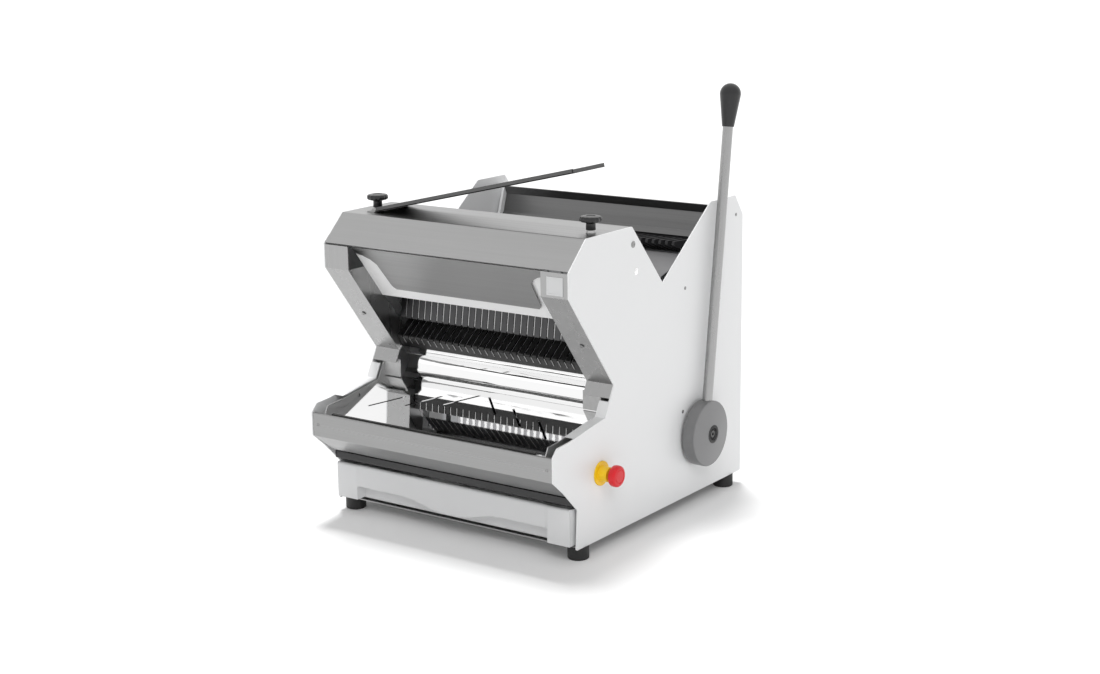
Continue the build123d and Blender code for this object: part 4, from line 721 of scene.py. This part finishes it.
# Turned pieces: a closed outline of radius and distance, spun round the axis that points along +X
def turnedMesh(name, centre, outline, steps=48):
    work = bmesh.new()
    x, y, z = centre
    points = [work.verts.new(place(x + along, y, z + radius)) for radius, along in outline]
    edges = [work.edges.new((points[i], points[(i + 1) % len(points)])) for i in range(len(points))]
    bmesh.ops.spin(
        work, geom=points + edges, cent=place(*centre), axis=(1, 0, 0),
        angle=2 * pi, steps=steps, use_merge=True,
    )
    bmesh.ops.remove_doubles(work, verts=work.verts, dist=mergeDistance)
    bmesh.ops.dissolve_degenerate(work, edges=work.edges, dist=mergeDistance)
    return closeMesh(name, work, sharpAngle=smoothAngle)


stopHead = {
    "centre": (311, 150, 151),
    "outline": [
        (6.1, 0), (14.5, 0), (17.5, 1), (19.4, 2.6), (20, 5), (20, 10.5),
        (19.4, 13.2), (17.8, 15), (15.6, 15.8), (13.6, 15.9), (13.1, 14.9), (12.1, 14.9),
        (11.6, 15.7), (6, 16), (0.01, 16), (0.01, 9), (6.1, 9),
    ],
}
hubRing = {
    "centre": (319.5, 489.97, 148.06),
    "outline": [
        (7.2, -5.9), (13.9, -5.9), (13.9, -1.2), (13.2, -0.6), (11.6, -0.8), (8.2, -3.4), (7.2, -4.4),
    ],
}
hubSeal = {
    "centre": (322, 489.97, 148.06),
    "outline": [(13.0, -0.2), (18.0, -0.2), (18.0, 0.5), (17.4, 0.9), (13.0, 0.6)],
}
capNut = {
    "spots": [(285, 270, 505), (-285, 270, 505)],
    "steps": 30,
    "outline": [
        (0.01, 0), (6.5, 0), (6.5, 0.5), (4.6, 0.6), (4.6, 1.4), (3.6, 1.8), (2.0, 2.0), (0.01, 2.0),
    ],
}

print("turned pieces")
stopMesh = turnedMesh("stopHead", stopHead["centre"], stopHead["outline"])
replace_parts(addPiece("stopHead", stopMesh, finish["red_plastic"], "stop_head"), "estop_head")
ringMesh = turnedMesh("hubRing", hubRing["centre"], hubRing["outline"])
addPiece("hubRing", ringMesh, finish["rubber"], "lever")
sealMesh = turnedMesh("hubSeal", hubSeal["centre"], hubSeal["outline"])
addPiece("hubSeal", sealMesh, finish["rubber"], "lever")
for spot in capNut["spots"]:
    outline = [(radius, along if spot[0] > 0 else -along) for radius, along in capNut["outline"]]
    nutMesh = turnedMesh("capNut", spot, outline, steps=capNut["steps"])
    addPiece("capNut", nutMesh, finish["polished_steel"], "machine")


# Strips and plates
def boxMesh(name, low, high, edge=0.0, lean=None):
    work = bmesh.new()
    bmesh.ops.create_cube(work, size=1.0)
    middle = [(a + b) / 2 for a, b in zip(low, high)]
    for vertex in work.verts:
        spot = [m + v * (b - a) for m, v, a, b in zip(middle, vertex.co, low, high)]
        vertex.co = lean(*spot) if lean else place(*spot)
    if edge:
        bmesh.ops.bevel(
            work, geom=work.edges[:], offset=edge / 1000.0, segments=2, affect="EDGES", profile=0.5
        )
    return closeMesh(name, work)


def joinMeshes(name, meshes):
    work = bmesh.new()
    for mesh in meshes:
        work.from_mesh(mesh)
    joined = bpy.data.meshes.new(name)
    work.to_mesh(joined)
    work.free()
    return joined


blankPlate = {
    "left": 238, "right": 273, "foot": 495, "top": 528, "face": 54,
    "rim": 3.2, "thickness": 1.2, "field": 0.7, "edge": 0.25,
}
# a black strip along the tray's front edge: painted shade for the shaded gap between the trim and the tray
trayGapShade = {"half": 240, "front": 8, "back": 14, "foot": 204, "top": 217, "edge": 0.6}
flapHinge = {"x": -226, "y": 134, "z": 594.3, "raise": 13.1, "depth": 100}
flapLip = {
    "start": 6, "end": 479, "foot": -4.0, "top": 4.5,
    "thickness": 2.0, "endDrop": 1, "edge": 0.3,
}


def blankPlateMesh(plate):
    # a bare square with a raised rim
    front = plate["face"] - plate["thickness"]
    x0, x1, z0, z1, rim = (plate[k] for k in ("left", "right", "foot", "top", "rim"))
    bars = [
        ((x0, front, z0), (x1, plate["face"], z0 + rim)), ((x0, front, z1 - rim), (x1, plate["face"], z1)),
        ((x0, front, z0 + rim), (x0 + rim, plate["face"], z1 - rim)),
        ((x1 - rim, front, z0 + rim), (x1, plate["face"], z1 - rim)),
        ((x0 + rim, plate["face"] - plate["field"], z0 + rim), (x1 - rim, plate["face"], z1 - rim)),
    ]
    return joinMeshes("blankPlate", [boxMesh("bar", low, high, plate["edge"]) for low, high in bars])


def flapPoint(along, y, above):
    angle = radians(flapHinge["raise"])
    return place(
        flapHinge["x"] + along * cos(angle) - above * sin(angle), y,
        flapHinge["z"] + along * sin(angle) + above * cos(angle),
    )


print("strips and plates")
plateGrey = mouldedPlastic("plateGrey", (0.68, 0.685, 0.69), 0.35, 0.05)
addPiece("blankPlate", blankPlateMesh(blankPlate), plateGrey, "machine")
# black strip of painted shade in the gap between the trim and the tray, given the rubber finish
trayGapShadeLow = (-trayGapShade["half"], trayGapShade["front"], trayGapShade["foot"])
trayGapShadeHigh = (trayGapShade["half"], trayGapShade["back"], trayGapShade["top"])
trayGapShadeMesh = boxMesh("trayGapShade", trayGapShadeLow, trayGapShadeHigh, trayGapShade["edge"])
addPiece("trayGapShade", trayGapShadeMesh, finish["rubber"], "machine")
lipLow = (flapLip["start"], flapHinge["y"], flapLip["foot"])
lipHigh = (flapLip["end"], flapHinge["y"] + flapLip["thickness"], flapLip["top"])
lipMesh = boxMesh("flapLip", lipLow, lipHigh, flapLip["edge"], lean=flapPoint)
addPiece("flapLip", lipMesh, special["hood_flap"], "flap")
endLow = (flapLip["end"] - flapLip["thickness"], flapHinge["y"], flapLip["foot"])
endHigh = (flapLip["end"], flapHinge["y"] + flapHinge["depth"], flapLip["top"] - flapLip["endDrop"])
endMesh = boxMesh("flapEnd", endLow, endHigh, flapLip["edge"], lean=flapPoint)
addPiece("flapEnd", endMesh, special["hood_flap"], "flap")


# Deflector: a plate with a shoulder at each top corner
deflectorShape = {
    "half": [(220, 535), (220, 522), (204, 518), (190, 511), (181, 501), (176, 458), (174, 452), (168, 447)],
    "reference": (104.3, 477.3), "slope": 0.772, "thickness": 1.5,
}


def plateMesh(name, shape):
    outline = shape["half"] + [(-x, z) for x, z in reversed(shape["half"])]
    y0, z0 = shape["reference"]
    work = bmesh.new()
    layers = []
    for back in (0.0, shape["thickness"]):
        spots = [(x, y0 + (z0 - z) * shape["slope"] + back, z) for x, z in outline]
        layers.append([work.verts.new(place(*spot)) for spot in spots])
    work.faces.new(layers[0])
    work.faces.new(list(reversed(layers[1])))
    for i in range(len(outline)):
        j = (i + 1) % len(outline)
        work.faces.new((layers[0][i], layers[1][i], layers[1][j], layers[0][j]))
    return closeMesh(name, work)


deflectorMesh = plateMesh("deflectorPlate", deflectorShape)
deflectorPiece = addPiece(
    "deflectorPlate", deflectorMesh, special["deflector"], "machine"
)
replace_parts(deflectorPiece, "deflector")


# Crumb drawer: a moulded front with a column at each end and a raised field that dips in the middle
drawer = {
    "half": 277, "foot": 33, "top": 103, "back": 385, "wall": 2.5,
    "columnFace": 59.5, "fieldFace": 61.5, "recess": 17, "columnInner": 227,
    "dipFoot": 43, "dipTop": 60, "dipStart": 20, "dipEnd": 120, "blend": 4, "arch": 3,
    "topRound": 3.0, "topRoundHeight": 4, "columnEase": 4,
    "tubSetback": 4, "tubDrop": 1, "tubGap": 2, "edge": 0.5, "sharpAngle": 50,
    "columns": 180, "rows": 40,
}


def easeBetween(value, low, high):
    t = min(1.0, max(0.0, (value - low) / (high - low)))
    return t * t * (3 - 2 * t)


def drawerFace(shape, x, z):
    column = easeBetween(abs(x), shape["columnInner"] - shape["blend"], shape["columnInner"])
    dip = shape["dipFoot"] + (shape["dipTop"] - shape["dipFoot"]) * easeBetween(
        abs(x), shape["dipStart"], shape["dipEnd"]
    )
    below = 1 - easeBetween(z, dip - shape["blend"], dip)
    field = shape["fieldFace"] + shape["recess"] * below
    edge = shape["topRound"] * (1 - easeBetween(shape["top"] - z, 0, shape["topRoundHeight"])) ** 2
    return field + (shape["columnFace"] - field) * column + edge


def drawerFrontMesh(shape):
    work = bmesh.new()
    sheets = []
    for back in (0.0, shape["wall"]):
        sheet = []
        for i in range(shape["columns"] + 1):
            x = -shape["half"] + 2 * shape["half"] * i / shape["columns"]
            easeStart = shape["columnInner"] - shape["columnEase"]
            column = easeBetween(abs(x), easeStart, shape["columnInner"])
            foot = shape["foot"] + shape["arch"] * (1 - column)
            line = []
            for j in range(shape["rows"] + 1):
                z = foot + (shape["top"] - foot) * j / shape["rows"]
                line.append(work.verts.new(place(x, drawerFace(shape, x, z) + back, z)))
            sheet.append(line)
        sheets.append(sheet)
    front, rear = sheets
    last, high = shape["columns"], shape["rows"]
    for i in range(last):
        for j in range(high):
            work.faces.new((front[i][j], front[i + 1][j], front[i + 1][j + 1], front[i][j + 1]))
            work.faces.new((rear[i][j], rear[i][j + 1], rear[i + 1][j + 1], rear[i + 1][j]))
        work.faces.new((front[i][0], rear[i][0], rear[i + 1][0], front[i + 1][0]))
        work.faces.new((front[i][high], front[i + 1][high], rear[i + 1][high], rear[i][high]))
    for j in range(high):
        work.faces.new((front[0][j], front[0][j + 1], rear[0][j + 1], rear[0][j]))
        work.faces.new((front[last][j], rear[last][j], rear[last][j + 1], front[last][j + 1]))
    return closeMesh("drawerFront", work, sharpAngle=shape["sharpAngle"])


def drawerTub(shape):
    front = shape["fieldFace"] + shape["recess"] + shape["tubGap"]
    half, wall, foot, back = (shape[k] for k in ("half", "wall", "foot", "back"))
    top = shape["top"] - shape["tubDrop"]
    sideFront = shape["columnFace"] + shape["tubSetback"]
    boards = [
        ((-half + wall, front, foot), (half - wall, back - wall, foot + wall)),
        ((-half, sideFront, foot), (-half + wall, back, top)),
        ((half - wall, sideFront, foot), (half, back, top)),
        ((-half + wall, back - wall, foot), (half - wall, back, top)),
    ]
    return [boxMesh("board", low, high, shape["edge"]) for low, high in boards]


drawerMesh = joinMeshes("crumbDrawer", [drawerFrontMesh(drawer), *drawerTub(drawer)])
drawerPiece = addPiece(
    "crumbDrawer", drawerMesh, materialFor("crumb_drawer"), "drawer"
)
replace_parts(drawerPiece, "crumb_drawer")


# Clamping knobs: a flat scalloped head on a round neck
knob = {
    "middleX": 250, "y": 175, "scallops": 14, "scallopDepth": 1.1, "steps": 112,
    "rings": [
        (8.6, 593.4, 0), (9.0, 594.0, 0), (8.6, 605.0, 0), (10.5, 607.4, 0),
        (17.5, 608.2, 0.6), (20.0, 609.6, 1), (20.6, 612.0, 1), (20.2, 615.6, 1),
        (18.6, 617.8, 0.8), (15.0, 618.6, 0.1), (9.0, 618.8, 0), (8.4, 618.0, 0),
    ],
}


def knobMesh(name, shape, hand):
    work = bmesh.new()
    rings = []
    for radius, height, share in shape["rings"]:
        ring = []
        for step in range(shape["steps"]):
            turn = 2 * pi * step / shape["steps"]
            cut = shape["scallopDepth"] * share * (1 + cos(shape["scallops"] * turn)) / 2
            reach = radius - cut
            x = hand * shape["middleX"] + reach * cos(turn)
            ring.append(work.verts.new(place(x, shape["y"] + reach * sin(turn), height)))
        rings.append(ring)
    for low, high in zip(rings, rings[1:]):
        for i in range(shape["steps"]):
            j = (i + 1) % shape["steps"]
            work.faces.new((low[i], low[j], high[j], high[i]))
    work.faces.new(rings[0])
    work.faces.new(rings[-1])
    return closeMesh(name, work, sharpAngle=smoothAngle)


for side, hand in (("left", -1), ("right", 1)):
    knobShape = knobMesh(side + "Knob", knob, hand)
    knobPiece = addPiece(
        side + "Knob", knobShape, finish["black_plastic"], side + "_knob"
    )
    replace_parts(knobPiece, "knob_" + side)


# Studio: a pale floor and soft light from above
studio = {
    "floorSize": 160.0, "floorColour": (0.86, 0.86, 0.86), "floorLift": 0.06,
    "floorRoughness": 0.9, "floorSheen": 0.1, "worldLight": 0.42,
}


def makeFloor(setup):
    bpy.ops.mesh.primitive_plane_add(size=setup["floorSize"], location=(0, 0, 0))
    floor = bpy.context.object
    floor.name = "floor"
    material = bpy.data.materials.new("paleFloor")
    material.use_nodes = True
    tree = material.node_tree
    shader = tree.nodes["Principled BSDF"]
    shader.inputs["Base Color"].default_value = (*setup["floorColour"], 1)
    shader.inputs["Roughness"].default_value = setup["floorRoughness"]
    shader.inputs["Specular IOR Level"].default_value = setup["floorSheen"]
    shader.inputs["Emission Color"].default_value = (1, 1, 1, 1)
    path = tree.nodes.new("ShaderNodeLightPath")
    seen = tree.nodes.new("ShaderNodeMath")
    seen.operation = "MAXIMUM"
    lift = tree.nodes.new("ShaderNodeMath")
    lift.operation = "MULTIPLY"
    lift.inputs[1].default_value = setup["floorLift"]
    tree.links.new(path.outputs["Is Camera Ray"], seen.inputs[0])
    tree.links.new(path.outputs["Is Glossy Ray"], seen.inputs[1])
    tree.links.new(seen.outputs[0], lift.inputs[0])
    tree.links.new(lift.outputs[0], shader.inputs["Emission Strength"])
    floor.data.materials.append(material)


def makeWorld(setup):
    world = bpy.data.worlds.new("studioWorld")
    bpy.context.scene.world = world
    world.use_nodes = True
    tree = world.node_tree
    background = tree.nodes["Background"]
    background.inputs["Color"].default_value = (1, 1, 1, 1)
    path = tree.nodes.new("ShaderNodeLightPath")
    camera = path.outputs["Is Camera Ray"]
    for key in ("Is Glossy Ray", "Is Transmission Ray"):
        either = tree.nodes.new("ShaderNodeMath")
        either.operation = "MAXIMUM"
        tree.links.new(camera, either.inputs[0])
        tree.links.new(path.outputs[key], either.inputs[1])
        camera = either.outputs[0]
    strength = tree.nodes.new("ShaderNodeMapRange")
    strength.inputs["To Min"].default_value = setup["worldLight"]
    strength.inputs["To Max"].default_value = 1.0
    tree.links.new(camera, strength.inputs["Value"])
    tree.links.new(strength.outputs[0], background.inputs["Strength"])


lamps = {
    "overhead": {"from": (-0.2, 0.2, 1.0), "strength": 2.3, "angle": 13},
    "front": {"from": (0.8, -0.95, 1.25), "strength": 0.95, "angle": 35},
}


def makeLamp(name, setup):
    data = bpy.data.lights.new(name, "SUN")
    data.energy = setup["strength"]
    data.angle = radians(setup["angle"])
    lamp = bpy.data.objects.new(name, data)
    bpy.context.scene.collection.objects.link(lamp)
    lamp.visible_glossy = False
    lamp.rotation_euler = Vector(setup["from"]).to_track_quat("Z", "Y").to_euler()


print("studio")
bpy.context.scene.view_settings.view_transform = "Standard"
makeFloor(studio)
makeWorld(studio)
for lampName, lampSetup in lamps.items():
    makeLamp(lampName, lampSetup)
